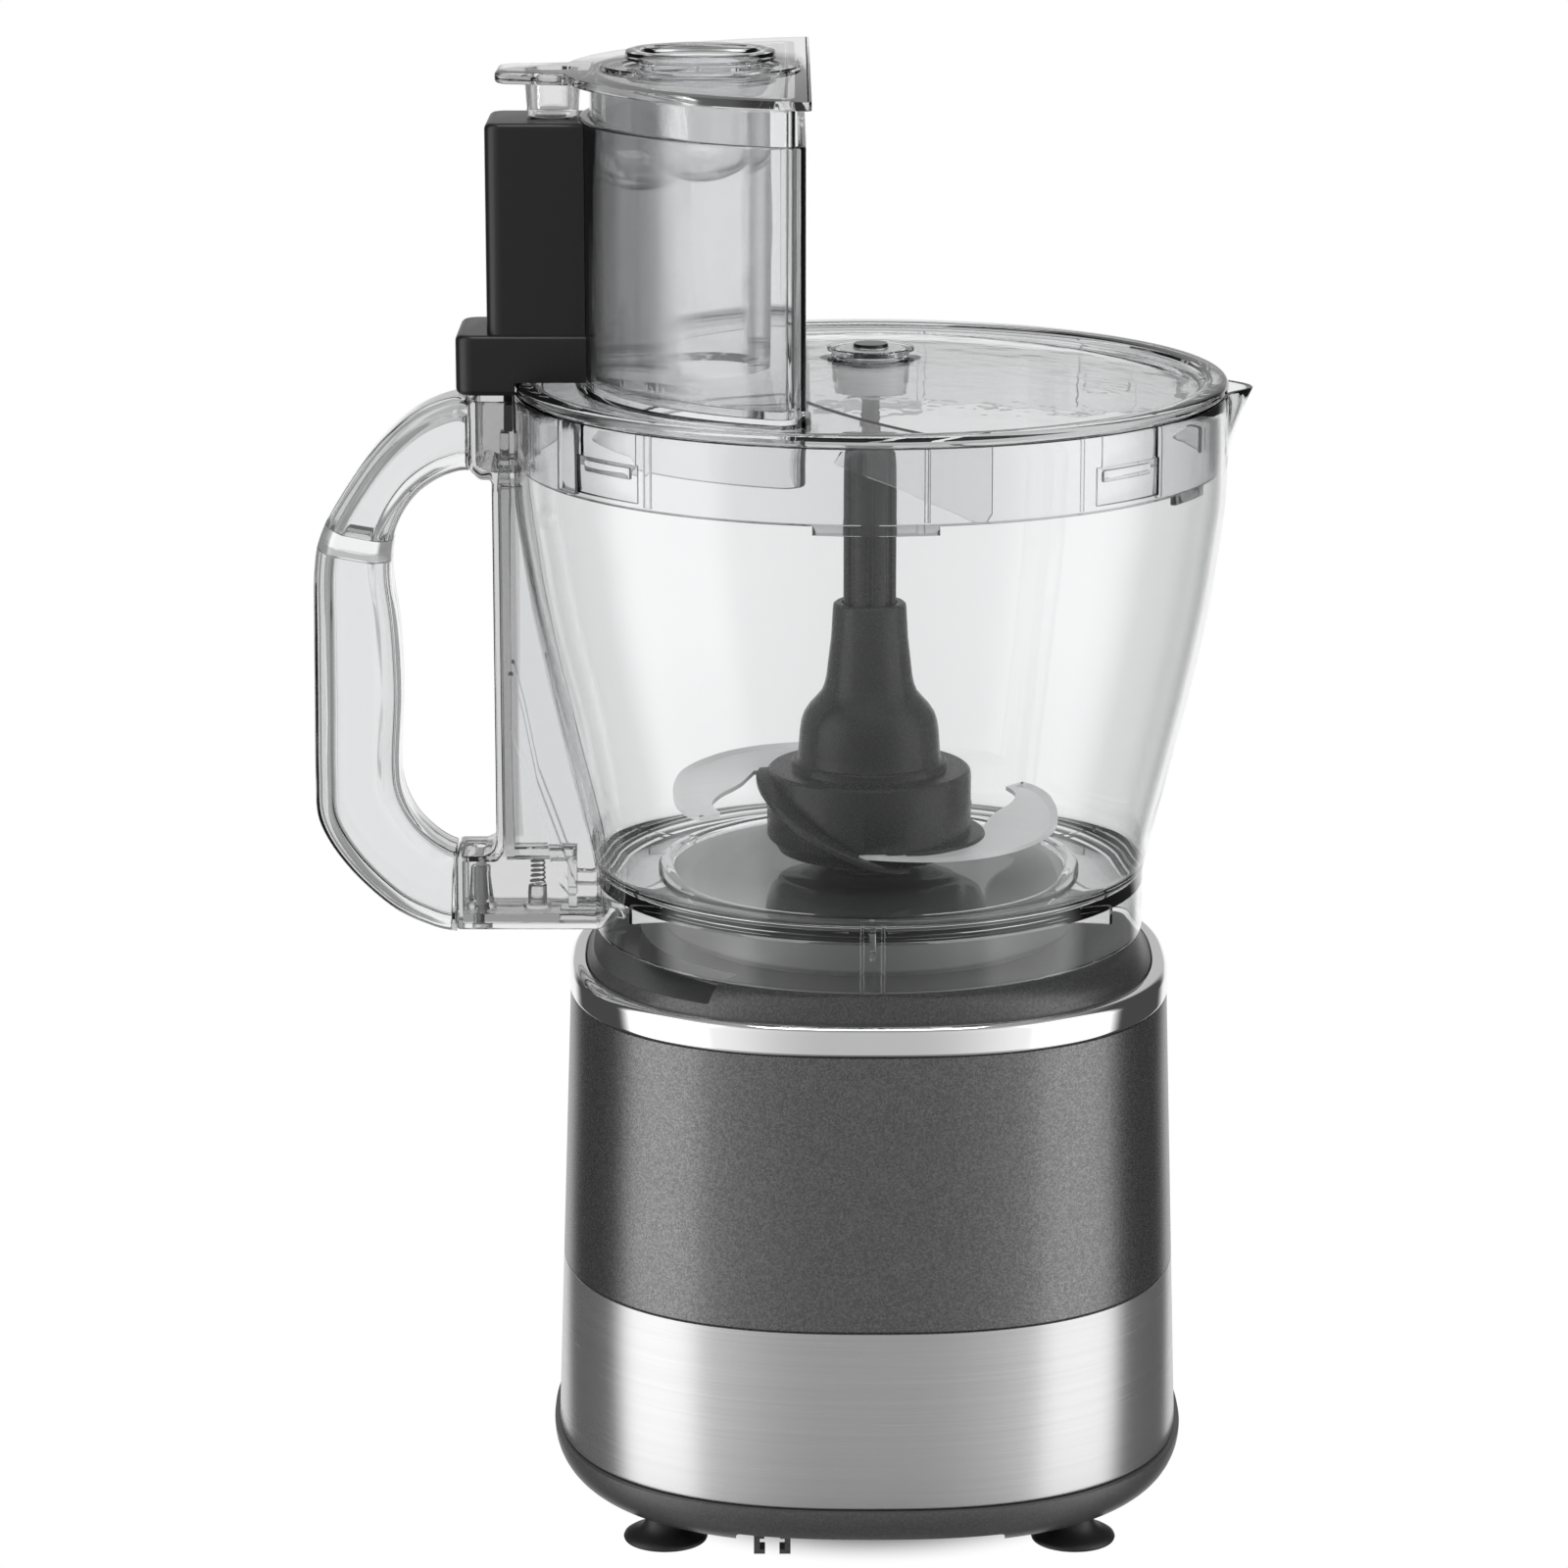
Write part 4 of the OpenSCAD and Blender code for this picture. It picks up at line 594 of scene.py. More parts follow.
housing = case_skin("housing", [
    (25, 1.2), (77.15, 1.2), (77.15, 0.7), (77.25, 0.3), (77.6, 0.05), (78.2, 0), (99, 0), (120, 0),
    (141, 0), (161.9, 0), (162.5, 0.1), (162.85, 0.5), (162.85, 6.6), (157, 6.6), (157, 3.6), (25, 3.6)])
smooth(housing, 25)
cut(housing, rod("dial hole", (0, 70, DIAL_Z), 26.3, 40, "Y", 96))
hand_over(housing, "base", "paint", paint, "upper_housing")

ring_top = [(z, inset) for inset, z in arc(2.5, 169.2, 2.8, 180, 90, 8)]
ring = case_skin("chrome_rim", [(163.2, -0.05), (163.5, -0.25), (164, -0.3)] + ring_top
                 + [(172, 3.6), (171.85, 4.2), (171.4, 4.55), (163.2, 4.6)])
hand_over(smooth(ring, 30), "base", "chrome", chrome, "chrome_ring")

# %% [markdown]
# The tray is the dark foot of the machine. Its side curves in like the bottom of a boat, and a small lip
# runs round under the band. At the back its lower edge is raised, so that the cord can pass.


# %% Tray
def tray_inset(z):
    return 14 * (1 - sqrt(max(0, 1 - ((BAND - z) / 15) ** 2)))


side = [TRAY + 13 * t for t in (0.02, 0.06, 0.12, 0.2, 0.3, 0.42, 0.55, 0.68, 0.8, 0.9, 0.96)]
outside = [(z, tray_inset(z) - 1.6) for z in side] + [(20.85, -1.55), (21.0, -1.2)]
inside = [(21.0, 0.8), (20.5, 1.0)] + [(z + WALL, tray_inset(z) + 1.0) for z in reversed(side[:7])]
middle = [(0, 0, TRAY)] * AROUND
floor_in = [(0, 0, TRAY + WALL)] * AROUND
tray = skin("tray", [middle, case_ring(TRAY, 22), case_ring(TRAY, 13.6)]
            + [case_ring(z, inset) for z, inset in outside + inside]
            + [case_ring(TRAY + WALL, 14.6), case_ring(TRAY + WALL, 22), floor_in], closed=True)
smooth(tray, 28)
FOOT_PLACES = [(-63, -62), (63, -62), (-63, 62), (63, 62)]
cut(tray, block("cord way", (-41, -110, 5), (41, -68.8, 11), 1.2))
cut(tray, *[block("vent", (8 * k - 1.5, 20, 0), (8 * k + 1.5, 54, 20), 0.6, 2) for k in range(-3, 4)])
cut(tray, *[rod("screw hole", (x, y, 5), 4.2, 8) for x, y in FOOT_PLACES])
# the lining that closes the raised edge from above
lining = block("lining", (-40.9, -84.5, 11.02), (40.9, -68.7, 12.2), 0.4, 2)
tray = join([tray, lining], "tray")
hand_over(tray, "base", "tray_plastic", tray_paint, "bottom_tray")

# %% [markdown]
# The deck leads from the oval ring up to the round seat of the bowl, so each of its rings lies between
# the two shapes. The drum in its middle stands up inside the bowl's skirt.

# %% Deck
DRUM_R, DRUM_TOP = 62, 197.2
rim = half_width(RING) - 4.9
shoulder = []
for step in range(11):
    t = step / 10
    rise = sin(t * pi / 2)
    shoulder.append(oval(lerp(173, 180.7, rise), lerp(rim - 1.3, 80.6, t), lerp(rim - 5.5, 80.6, t),
                         lerp(2.45, 2, smoothstep(t))))
drum_edge = arc(DRUM_R - 2, DRUM_TOP - 2, 2, 0, 90, 6)
deck_rings = [oval(164, rim, rim - 5), oval(171, rim, rim - 5), oval(172.2, rim - 0.3, rim - 5.2)]
deck_rings += shoulder + [
    oval(z, r, r, 2) for r, z in
    [(79.6, 181), (78, 181.1), (74, 181.1), (63, 181.1), (62.2, 181.3), (62, 182)] + drum_edge
    + [(44, 197.2), (18.2, 197.2), (17.6, 197.0), (17.4, 196.6), (9, 196.6), (7.4, 196.4), (7, 196),
       (7, 164)]]
deck = skin("deck", deck_rings, closed=True)
smooth(deck, 28)
sector = [polar(71, a) for a in range(168, 237, 4)] + [polar(99, a) for a in range(236, 167, -4)]
cut(deck, plate("pocket", sector, 175, 190, 0.8))
hand_over(deck, "base", "deck_paint", deck_paint, "top_deck")

# %% [markdown]
# Four suction feet. The cup is soft rubber with a thin rim that flares where it meets the worktop, so the
# profile is drawn once, spun, and copied to the four corners.

# %% Feet
foot_profile = [(0, 2.6), (6.8, 1.9), (9.4, 0.5), (10.6, 0.02), (12.2, 0.0), (12.8, 0.25), (13, 0.8),
                (12.7, 1.5), (11.6, 2.2), (9.6, 2.9), (7.8, 3.9), (6.7, 5.2), (6.25, 6.4), (6.15, 7.95),
                (3.9, 7.95), (3.9, 9.6), (0, 9.6)]
for number, place in enumerate(FOOT_PLACES, 1):
    foot = turned(f"foot_{number}", foot_profile, 64, place)
    hand_over(smooth(foot, 50), "base", "black_rubber", foot_rubber, f"suction_foot_{number}")

# %% [markdown]
# The bowl is one clear moulding: wall, floor, skirt and the tube in its middle. Its section is a closed
# loop, so a single spin gives the outer and the inner skin together. The pouring lip is pulled out of the
# spun wall afterwards, by moving the points near it with a smooth weight.

# %% The bowl's wall
FLOOR, MOUTH = 200, 350
BAND_LOW = 322


def wall_point(t, inset=0.0):
    """The wall's outline from the floor up to the band, as one cubic curve that eases into the band."""
    weights = [(1 - t) ** 3, 3 * t * (1 - t) ** 2, 3 * t * t * (1 - t), t ** 3]
    r = sum(w * v for w, v in zip(weights, [85.2, 92.07, 108.2, 108.2]))
    z = sum(w * v for w, v in zip(weights, [FLOOR, 232, 285, BAND_LOW]))
    return (r + 0.7 * smoothstep((z - 298) / (BAND_LOW - 298)) - inset, z)


curve = [k / 28 for k in range(29)]
outer_wall = [(83.6, 181.3), (84.6, 181.4), (85.1, 181.8), (85.2, 182.4), (85.2, 191), (85.2, 199.9)]
outer_wall += [wall_point(t) for t in curve[1:]]
outer_wall += [(108.9, z) for z in (326, 331, 336, 341, 346, 349.3)] + [(108.7, 349.8), (108.3, 350)]
inner_wall = [(107.1, 350), (106.75, 349.8)] + [(106.7, z) for z in (349.3, 345, 340, 335, 330, 325)]
inner_wall += [wall_point(t, 2.2) for t in reversed(curve) if t > 0.09]
corner_r = 6
foot_x = wall_point(0.075, 2.2)[0]
inner_wall += arc(foot_x - corner_r, FLOOR + corner_r, corner_r, 0, -72, 6)
inner_wall += [(foot_x - corner_r - 1, FLOOR), (65.4, FLOOR), (65, FLOOR + 0.7), (64.6, FLOOR + 0.9),
               (61.4, FLOOR + 0.9), (61, FLOOR + 0.7), (60.6, FLOOR), (40, FLOOR), (15, FLOOR),
               (13.8, 200.2),
               (13.2, 200.8), (13, 201.6), (13, 221), (12.7, 221.8), (12, 222), (11.2, 222),
               (10.75, 221.8), (10.6, 221.2), (10.6, 198.2), (11, 197.6), (11.6, 197.5)]
inner_wall += [(30, 197.5), (60, 197.5), (80.8, 197.5), (82.3, 197.2), (83, 196.4), (83, 190), (83, 182)]
bowl = turned("bowl_shell", outer_wall + inner_wall, 240)


def pull_lip(piece, reach=8.1, low=329.0, high=350.2, half_angle=9.5):
    """Draws the wall out to a pouring lip at +X. Both skins move together and keep their thickness."""
    for vertex in piece.data.vertices:
        x, y, z = (value / MM for value in vertex.co)
        turn = abs(degrees(atan2(y, x)))
        if turn < half_angle and z > low and hypot(x, y) > 95:
            upward = min(1, (z - low) / (high - low))
            across = 0.5 + 0.5 * cos(pi * turn / half_angle)
            pull = reach * (0.62 * upward + 0.38 * upward * upward) * across ** 1.15
            length = hypot(x, y)
            vertex.co.x += pull * MM * x / length
            vertex.co.y += pull * MM * y / length * 0.4
    piece.data.update()


pull_lip(bowl)
print("bowl wall:", len(bowl.data.vertices), "points, lip out to",
      round(max(v.co.x for v in bowl.data.vertices) / MM, 1))

# %% [markdown]
# The bracket on the bowl's side holds the grip and hides the lock rod. It is hollow and open below, and
# ends at the top in a small cage. It is built as a bevelled block, hollowed by a second one and trimmed
# to the bowl's outside. Its plastic is thicker than the wall, so it gets a finish with a darker tint, and
# its outer post and low parts are darker still as painted shade.

# %% Bracket
POST_X, LOW_X, TOP_X, BRACKET_TOP = -115.3, -127.9, -121.9, 205
CAGE_FLOOR, CAGE_TOP = 323, 347
SCREW_X, SPRING_X = -120.9, -103.3
half_bracket = 13
bracket = plate("bracket", [
    (LOW_X, 181.3), (-70, 181.3), (-70, 300), (-90, CAGE_TOP), (TOP_X, CAGE_TOP),
    (TOP_X, CAGE_FLOOR + 3), (TOP_X + 3, CAGE_FLOOR), (POST_X, CAGE_FLOOR), (POST_X, BRACKET_TOP + 4),
    (POST_X - 1.2, BRACKET_TOP + 1.2), (POST_X - 4, BRACKET_TOP), (LOW_X, BRACKET_TOP)],
    -half_bracket, half_bracket, 1.1, 3, upright=True)
rod_room = plate("rod room", [
    (LOW_X + 2, 178), (-60, 178), (-60, CAGE_FLOOR - 2), (POST_X + 2, CAGE_FLOOR - 2),
    (POST_X + 2, BRACKET_TOP + 1), (POST_X, BRACKET_TOP - 2), (LOW_X + 2, BRACKET_TOP - 2)],
    2 - half_bracket, half_bracket - 2, 0.8, 2, upright=True)
cage = plate("cage", [
    (TOP_X + 2, CAGE_FLOOR + 4), (POST_X + 1, CAGE_FLOOR + 2), (-60, CAGE_FLOOR + 2), (-60, 360),
    (TOP_X + 2, 360)], 2 - half_bracket, half_bracket - 2, 0.8, 2, upright=True)
cut(bracket, rod_room, cage, block("rod window", (-113.5, -3, 318), (-109.9, 3, 328), 0.5, 2))
bracket_foot = block("bracket foot", (LOW_X + 1, -12, 183.4), (-84.6, 12, 186.2), 0.4, 2)
web_shape = [(-111, 262), (-110.6, 244.8), (-99.7, 210.4), (-98.6, 203), (-95.9, 195.5), (-93, 192),
             (-84, 192), (-84, 195.4), (-91, 195.4), (-92, 197.6), (-96, 209.6), (-102.5, 228),
             (-106.6, 249.5), (-109.6, 262)]
web = plate("web", web_shape, 1.2 - half_bracket, half_bracket - 1.2, 0.3, 1, upright=True)
grip_boss = turned("grip boss", [(0, 184), (4.9, 184), (4.9, 187), (4.5, 187.4), (4, 188), (3.1, 199),
                                 (2.8, 199.4), (0, 199.4)], 48, (SCREW_X, 0))
boss = join([grip_boss, rod("spring boss", (SPRING_X, 0, 184), 2.9, 9.3, sides=32, bevel=0.4),
             rod("spring seat", (SPRING_X, 0, 184.2), 4.4, 3.2, sides=32, bevel=0.4)], "bosses")
cut(web, block("web room", (-130, -5.5, 180), (-60, 5.5, 330)))
add(bracket, bracket_foot, web)
boolean(bracket, boss, "UNION", crossing=True)
cut(bracket, rod("screw way", (SCREW_X, 0, 176), 1.7, 40, sides=24),
    block("foot window", (-96.2, -4, 176), (-83, 4, 187), 0.4, 2))
room_profile = [(0, 176), (85.25, 176), (85.25, 199.9)] + [wall_point(t, -0.05) for t in curve[1:]]
room_profile += [(108.95, 325), (108.95, 360), (0, 360)]
cut(bracket, turned("bowl room", room_profile, 240))
close_up(bracket, 0.002)
hand_over(smooth(bracket, 30), "bowl", "clear_bowl", clear_bracket, "bowl_bracket")

# %% [markdown]
# Small features of the moulding: channels that the lid's lugs turn along, guide ribs on the skirt, ribs
# under the floor and a shallow ring on the floor.


# %% Channels and ribs
def arc_bar(name, inner, outer, start, stop, low, high, bevel=0.0):
    """A bar that follows a ring between two angles."""
    steps = max(2, int(abs(stop - start)))
    outline = arc(0, 0, inner, start, stop, steps) + arc(0, 0, outer, stop, start, steps)
    return plate(name, outline, low, high, bevel, 2)


corners = (45, 135, 225, 315)
ways = [arc_bar("way", 106, 107.6, c - 7.6, c + 5, 340.5, 352, 0.25) for c in corners]
channels = [arc_bar("channel", 106, 107.6, c - 8.6, c + 5.4, 329.3, 340.7, 0.25) for c in corners]
cut(bowl, join(ways, "lug ways"), join(channels, "lug channels"))
ribs = [turn_piece(block("floor rib", (63.5, -0.9, 191.4), (83.6, 0.9, 198.3), 0.3, 2), turn)
        for turn in range(30, 360, 60)]
ribs += [block("guide", (x, -87.3, 182.3), (x + 1.3, -84.2, 203.6), 0.5, 3) for x in (-3.9, 2.3)]
add(bowl, join(ribs, "ribs"))
cut(bowl, block("rod window", (-90.3, -5, 180), (-79, 5, 193.3), 0.5, 2))
close_up(bowl, 0.002)
hand_over(smooth(bowl, 30), "bowl", "clear_bowl", clear_bowl, "bowl")

# %% [markdown]
# The grip is a hollow tube of clear plastic that bends from the cage down to the bracket's foot. Its
# centre line and its width come from an outer and an inner outline, each a smooth curve through a few
# points, and its section is a rounded rectangle. A second, smaller skin inside it is the hollow.

# %% Grip
JOINT_TOP, JOINT_LOW, REACH, GRIP_IN = TOP_X - 0.3, LOW_X - 0.3, -172, -145
outer_grip = [(lerp(JOINT_TOP, REACH, s), MOUTH + z) for s, z in (
    (0, -3.4), (0.096, -2), (0.337, -7), (0.578, -17.8), (0.795, -33), (0.924, -45), (0.968, -56),
    (0.978, -75))]
outer_grip += [(lerp(JOINT_TOP, REACH, s), FLOOR + z) for s, z in ((0.984, 50), (0.988, 28))]
outer_grip += [(lerp(JOINT_LOW, REACH, s), FLOOR + z) for s, z in (
    (0.963, 14), (0.772, 0), (0.463, -13), (0.178, -19.2), (0, -21))]
inner_grip = [(lerp(JOINT_TOP, GRIP_IN, s), MOUTH + z) for s, z in (
    (0, -25), (0.167, -25.4), (0.43, -27.7), (0.715, -32.5), (0.939, -40), (1.057, -49), (1.07, -60),
    (0.991, -74))]
inner_grip += [(lerp(JOINT_TOP, GRIP_IN, s), FLOOR + z) for s, z in ((0.96, 56), (1.009, 34))]
inner_grip += [(lerp(JOINT_LOW, GRIP_IN, s), FLOOR + z) for s, z in (
    (0.952, 24), (0.732, 16), (0.435, 10.5), (0.167, 7.2), (0, 6))]


def along(line, s):
    """A point on a smooth curve through a list of points."""
    k = min(len(line) - 2, int(s))
    t = s - k
    a, b, c, d = (line[max(0, min(len(line) - 1, k + j))] for j in (-1, 0, 1, 2))
    return tuple(0.5 * (2 * q + (r - p) * t + (2 * p - 5 * q + 4 * r - w) * t * t
                        + (3 * q - p - 3 * r + w) * t ** 3) for p, q, r, w in zip(a, b, c, d))


def rounded(points, radius, steps=5):
    """A closed outline with its corners rounded."""
    result = []
    for k, corner in enumerate(points):
        before, after = Vector(points[k - 1]), Vector(points[(k + 1) % len(points)])
        corner = Vector(corner)
        start = corner + (before - corner).normalized() * radius
        stop = corner + (after - corner).normalized() * radius
        for j in range(steps):
            t = j / (steps - 1)
            result.append(tuple(start * (1 - t) ** 2 + corner * 2 * t * (1 - t) + stop * t * t))
    return result


# the section: across from the inner side to the outer face, and half the width
facets = rounded([(1, 0.5), (0.62, 1), (-0.6, 1), (-1, 0.55), (-1, -0.55), (-0.6, -1), (0.62, -1),
                  (1, -0.5)], 0.16)


def grip_ring(s, wall):
    outer, inner = Vector(along(outer_grip, s)), Vector(along(inner_grip, s))
    middle = (outer + inner) / 2
    half = (outer - inner) / 2
    half *= 1 - wall / half.length
    return [(middle.x + half.x * u, (14 - wall) * w, middle.y + half.y * u) for u, w in facets]


stations = [k * (len(outer_grip) - 1) / 110 for k in range(111)]
grip_out = soften(capped("grip_shell", [grip_ring(s, 0) for s in stations]), 0.8, 3, 60)
# two hollows, with a wall between them where the grip is gripped
for first, last in ((0, 4.95), (5.35, 99)):
    hollow = [grip_ring(s, 3.4) for s in reversed(stations[2:-2]) if first < s < last]
    cut(grip_out, soften(capped("grip hollow", hollow), 0.7, 3, 60))
cut(grip_out, rod("grip screw way", (SCREW_X, 0, 180), 1.7, 30, sides=24))
hand_over(smooth(grip_out, 40), "bowl", "clear_grip", clear_grip, "handle_grip")

# %% [markdown]
# The drive shaft stands on the bowl's tube and carries the blade. It has eight flutes along it, which are
# cut by eight round rods that are joined into one tool.

# %% Drive shaft
shaft_profile = [(0, 223), (13.2, 222.6), (13.8, 222), (13.8, 201), (15.9, 201), (16.35, 201.3),
                 (16.4, 202), (16.4, 225.6), (16, 226.3), (15.2, 226.5), (9, 226.6), (8.4, 227),
                 (8.2, 227.8), (8.2, 332), (7.9, 332.8), (7.3, 333), (3.2, 333), (2.85, 333.4),
                 (2.8, 334), (2.8, 352.8), (2.5, 353.2), (2, 353.3), (0, 353.3)]
shaft = turned("shaft", shaft_profile, 128)
add(shaft, rod("core", (0, 0, 205), 9.8, 19, sides=64, bevel=0.5))
cut(shaft, rod("hex bore", (0, 0, 200), 7.2, 20, sides=6))
flutes = [rod("flute", (*polar(8.7, turn), 229), 1.5, 106, sides=24) for turn in range(0, 360, 45)]
cut(shaft, join(flutes, "flutes"))
hand_over(smooth(shaft, 34), "shaft", "shaft_plastic", shaft_grey, "drive_shaft")

# %% [markdown]
# The hub is soft-touch plastic: a drum at the foot, where the blades are held, then a bell that narrows
# into a neck. Three ledges wind round the drum like screw threads: two sink towards the lower blade's
# root, and one runs level near the foot. Each is a skin through small rings that turn and sink.

# %% Blade hub
HUB_R, DISC_TOP, DISC_LOW = 31.7, 231, 207
hub_profile = [(16.8, 205), (27.5, 205), (28.2, 205.3), (29.7, 208), (31.2, 209), (HUB_R, 209.8),
               (HUB_R, 229), (31.4, 230.2), (30.6, 230.9), (29.4, 231), (24.2, 231), (24.0, 231.4),
               (24.0, 233.1), (23.5, 233.6), (22.6, 233.7), (22.1, 234.4), (21.9, 238), (21.5, 243),
               (21.0, 246), (20.2, 248.2), (18.6, 250.6), (16.6, 252.8), (14.8, 255), (13.9, 257.2),
               (13.3, 260), (12.6, 266), (11.9, 272), (11.5, 279), (11.4, 281.2), (11.2, 282.4),
               (10.4, 283), (8.6, 283), (8.6, 229), (16.8, 227)]
hub = turned("hub", hub_profile, 160)


def ledge(start, sweep, high, low, reach, first):
    """A ledge from one angle on, falling from high to low. First is where in its swell it starts."""
    rings = []
    for k in range(49):
        t = k / 48
        turn = radians(start + sweep * t)
        drop = lerp(high, low, smoothstep(t))
        out = HUB_R + 0.3 + reach * sin(pi * min(1, first + t * (1 - first)))
        section = [(HUB_R - 3, drop), (out - 0.6, drop - 0.5), (out, drop - 1.2), (out, drop - 2.6),
                   (out - 0.6, drop - 3.1), (HUB_R - 3, drop - 3.5)]
        rings.append([(r * cos(turn), r * sin(turn), z) for r, z in section])
    return capped("ledge", rings)


add(hub, ledge(180, 112, DISC_TOP - 0.02, DISC_LOW, 5.3, 0.16),
    ledge(8, 104, lerp(DISC_TOP, DISC_LOW, 0.5), DISC_LOW, 5.3, 0.02),
    ledge(290, 110, DISC_LOW + 4.6, DISC_LOW + 4.6, 4.6, 0.02))
hand_over(smooth(hub, 34), "blades", "hub_plastic", hub_grey, "blade_hub", "hub_cap")

# %% [markdown]
# Each blade is a sabre of sheet steel. It sweeps out in a spiral to a hooked tip. To grind its long outer
# edge, the top face is inset by the bevel's width and the points along the cutting edge are sunk.

# %% Blades
edge_line = [(84, 0), (92, 0), (106, 0.07), (119, 0.16), (140, 0.29), (153, 0.365), (167, 0.44),
             (181, 0.53), (196, 0.632), (208, 0.75), (218, 0.88), (226, 0.975), (230, 1)]
back_line = [(184.6, 0.06), (192, 0.1), (203, 0.2), (210, 0.33), (215, 0.48), (223, 0.7), (230.5, 0.82)]
THICK, REACH_OUT = 1.4, 79.5
GROUND, EDGE_T = 2.1, 0.25               # the bevel's width and the steel left at the edge


def blade_point(line, s):
    turn, share = along(line, s)
    return polar(lerp(HUB_R + 1.3, REACH_OUT, share), turn)


root = [polar(20, a) for a in range(176, 90, -10)]
edge = [blade_point(edge_line, k * 0.2) for k in range(5 * (len(edge_line) - 1) + 1)]
back = [blade_point(back_line, k * 0.2) for k in range(5 * (len(back_line) - 1), -1, -1)]


def blade(name, low):
    piece = plate(name, [polar(20, 84)] + edge + back + root, low, low + THICK)
    # the points to sink: those of the upper edge that lie outside the hub
    cutting = {(round(x, 2), round(y, 2)) for x, y in edge[8:-3]}
    ground = []
    for vertex in piece.data.vertices:
        x, y, z = (value / MM for value in vertex.co)
        if z > low + 1 and (round(x, 2), round(y, 2)) in cutting:
            ground.append(vertex.index)
    mesh = bmesh.new()
    mesh.from_mesh(piece.data)
    top = [f for f in mesh.faces if all(v.co.z / MM > low + 1 for v in f.verts)]
    bmesh.ops.inset_region(mesh, faces=top, thickness=GROUND * MM, use_even_offset=True)
    mesh.verts.ensure_lookup_table()
    for index in ground:
        mesh.verts[index].co.z = (low + EDGE_T) * MM
    mesh.to_mesh(piece.data)
    mesh.free()
    return smooth(piece, 12)


for name, low, turn in (("upper", 228.8, 0), ("lower", 209.4, 180)):
    piece = turn_piece(blade(f"blade_{name}", low), turn)
    hand_over(piece, "blades", "blade_steel", blade_steel, f"{name}_blade")

# %% [markdown]
# The lid is a shallow dome with a rim and a skirt inside the bowl, again one closed section that is spun.
# The wide feed tube is D-shaped. It is joined to the dome and then bored through both at once, so that
# the clear plastic has no wall across the tube.

# %% Lid: dome, rim and skirt
LID, RIM_IN, TUBE_TOP = 350.3, 99.9, 432.7


def dome(r):
    return LID + 9.5 * (1 - (r / RIM_IN) ** 2)


lid_profile = [(5.45, 362.2), (13.0, 362.2), (13.3, 361.9), (13.3, 361.3), (13.0, 361.0), (12.1, 360.8),
               (11.85, 360.5), (11.85, 359.9), (12.1, 359.65)]
lid_profile += [(r, dome(r)) for r in (14, 20, 28, 36, 44, 52, 60, 68, 76, 84, 90, 94)]
lid_profile += [(97.5, 350.95), (99.3, 350.75), (100.3, 351.1), (101.1, 352.4), (101.9, 353.3),
                (103.2, 353.7)]
lid_profile += arc(106.9, 351.9, 1.9, 80, 0, 6)
lid_profile += [(108.9, 351.2), (108.6, 350.6), (108, 350.3), (106.35, 350.3), (106.2, 350.1)]
lid_profile += [(106.2, z) for z in (345, 340, 334, 330)] + arc(105.2, 327.9, 1, 0, -180, 10)
lid_profile += [(104.2, z) for z in (330, 336, 342, 350.2)]
lid_profile += [(103.7, 350.9), (102.9, 351), (102.2, 350.5), (101.2, 349.2), (100.2, 348.4)]
lid_profile += [(r, dome(r) - 2.4) for r in (98, 94, 88, 80, 72, 64, 56, 48, 40, 32, 24, 16)]
lid_profile += [(12.6, 357.2), (12.0, 356.9), (11.8, 356.3), (11.7, 351), (11.3, 350.2), (10.9, 347.2),
                (10.6, 346.9), (10.3, 346.9), (10.2, 347.2), (10.2, 359.6), (9.9, 359.9), (5.45, 359.9)]
lid = turned("lid_shell", lid_profile, 240)


def d_outline(r, flat, corner):
    """The feed tube's outline: a wide arc at -X, a flat wall at +X and two round corners."""
    cx = -flat - corner
    cy = sqrt((r - corner) ** 2 - cx * cx)
    turn = degrees(atan2(cy, cx))
    wide = arc(0, 0, r, turn, 360 - turn, 96)
    return wide + arc(cx, -cy, corner, -turn, 0, 10)[1:] + arc(cx, cy, corner, 0, turn, 10)[:-1]


add(lid, plate("tube foot", d_outline(89.6, 18.4, 7), 347.9, 351.6, 0.9, 3),
    plate("tube", d_outline(88, 20, 6), 334, TUBE_TOP, 0.7, 3))
cut(lid, plate("tube room", d_outline(85.6, 22.4, 3.6), 330, 440))
print("lid with tube:", len(lid.data.polygons), "faces")

# %% [markdown]
# Under the lid hangs a curved fin that turns the food back. On the skirt are upright ribs, some slim and
# round and one broad, tabs along its lower edge and four lugs. It is cut away at the pouring lip.

# %% Lid: fin, ribs, tabs and lugs
fin = plate("fin", arc(57, -7, 94.4, 180, 268, 60) + arc(57, -7, 92.4, 268, 180, 60), 320, 366)
fin_side = plate("fin side", [(-20, 341.3), (5, 335.3), (27, 327.5), (31.5, 327.2), (33, 329.5),
                              (33, 353.3), (-20, 359.8)], -120, -25, upright=True)
under_profile = [(24, 318), (105.2, 318), (105.2, 349)]
under_profile += [(r, dome(r) - 1.2) for r in (99, 90, 80, 70, 60, 50, 40, 30, 24)]
boolean(fin, fin_side, "INTERSECT")
boolean(fin, turned("under the lid", under_profile, 240), "INTERSECT")
add(lid, fin)
add(lid, *[rod("skirt rib", (*polar(104.1, turn), 328), thick, 21.4, sides=20) for turn, thick in
           ((231.3, 1.4), (278, 0.9), (304.5, 0.7), (322, 1.3), (20, 1.3), (80, 1.3), (110, 1.3))])
add(lid, arc_bar("broad rib", 102.6, 104.6, 208.8, 214.4, 327.8, 349.3, 0.6))
add(lid, *[arc_bar("tab", 104.35, 106.05, turn - half, turn + half, 324.3, 328.5, 0.3)
           for turn, half in ((270, 10), (331.3, 5.3), (33, 6), (90, 10), (151, 5.3))])
add(lid, *[arc_bar("lug", 105.4, 107.3, c - 7.1, c + 3.6, 335.9, 339.6, 0.8) for c in corners])
cut(lid, arc_bar("lip gap", 103.7, 106.3, -7, 7, 320, 346))
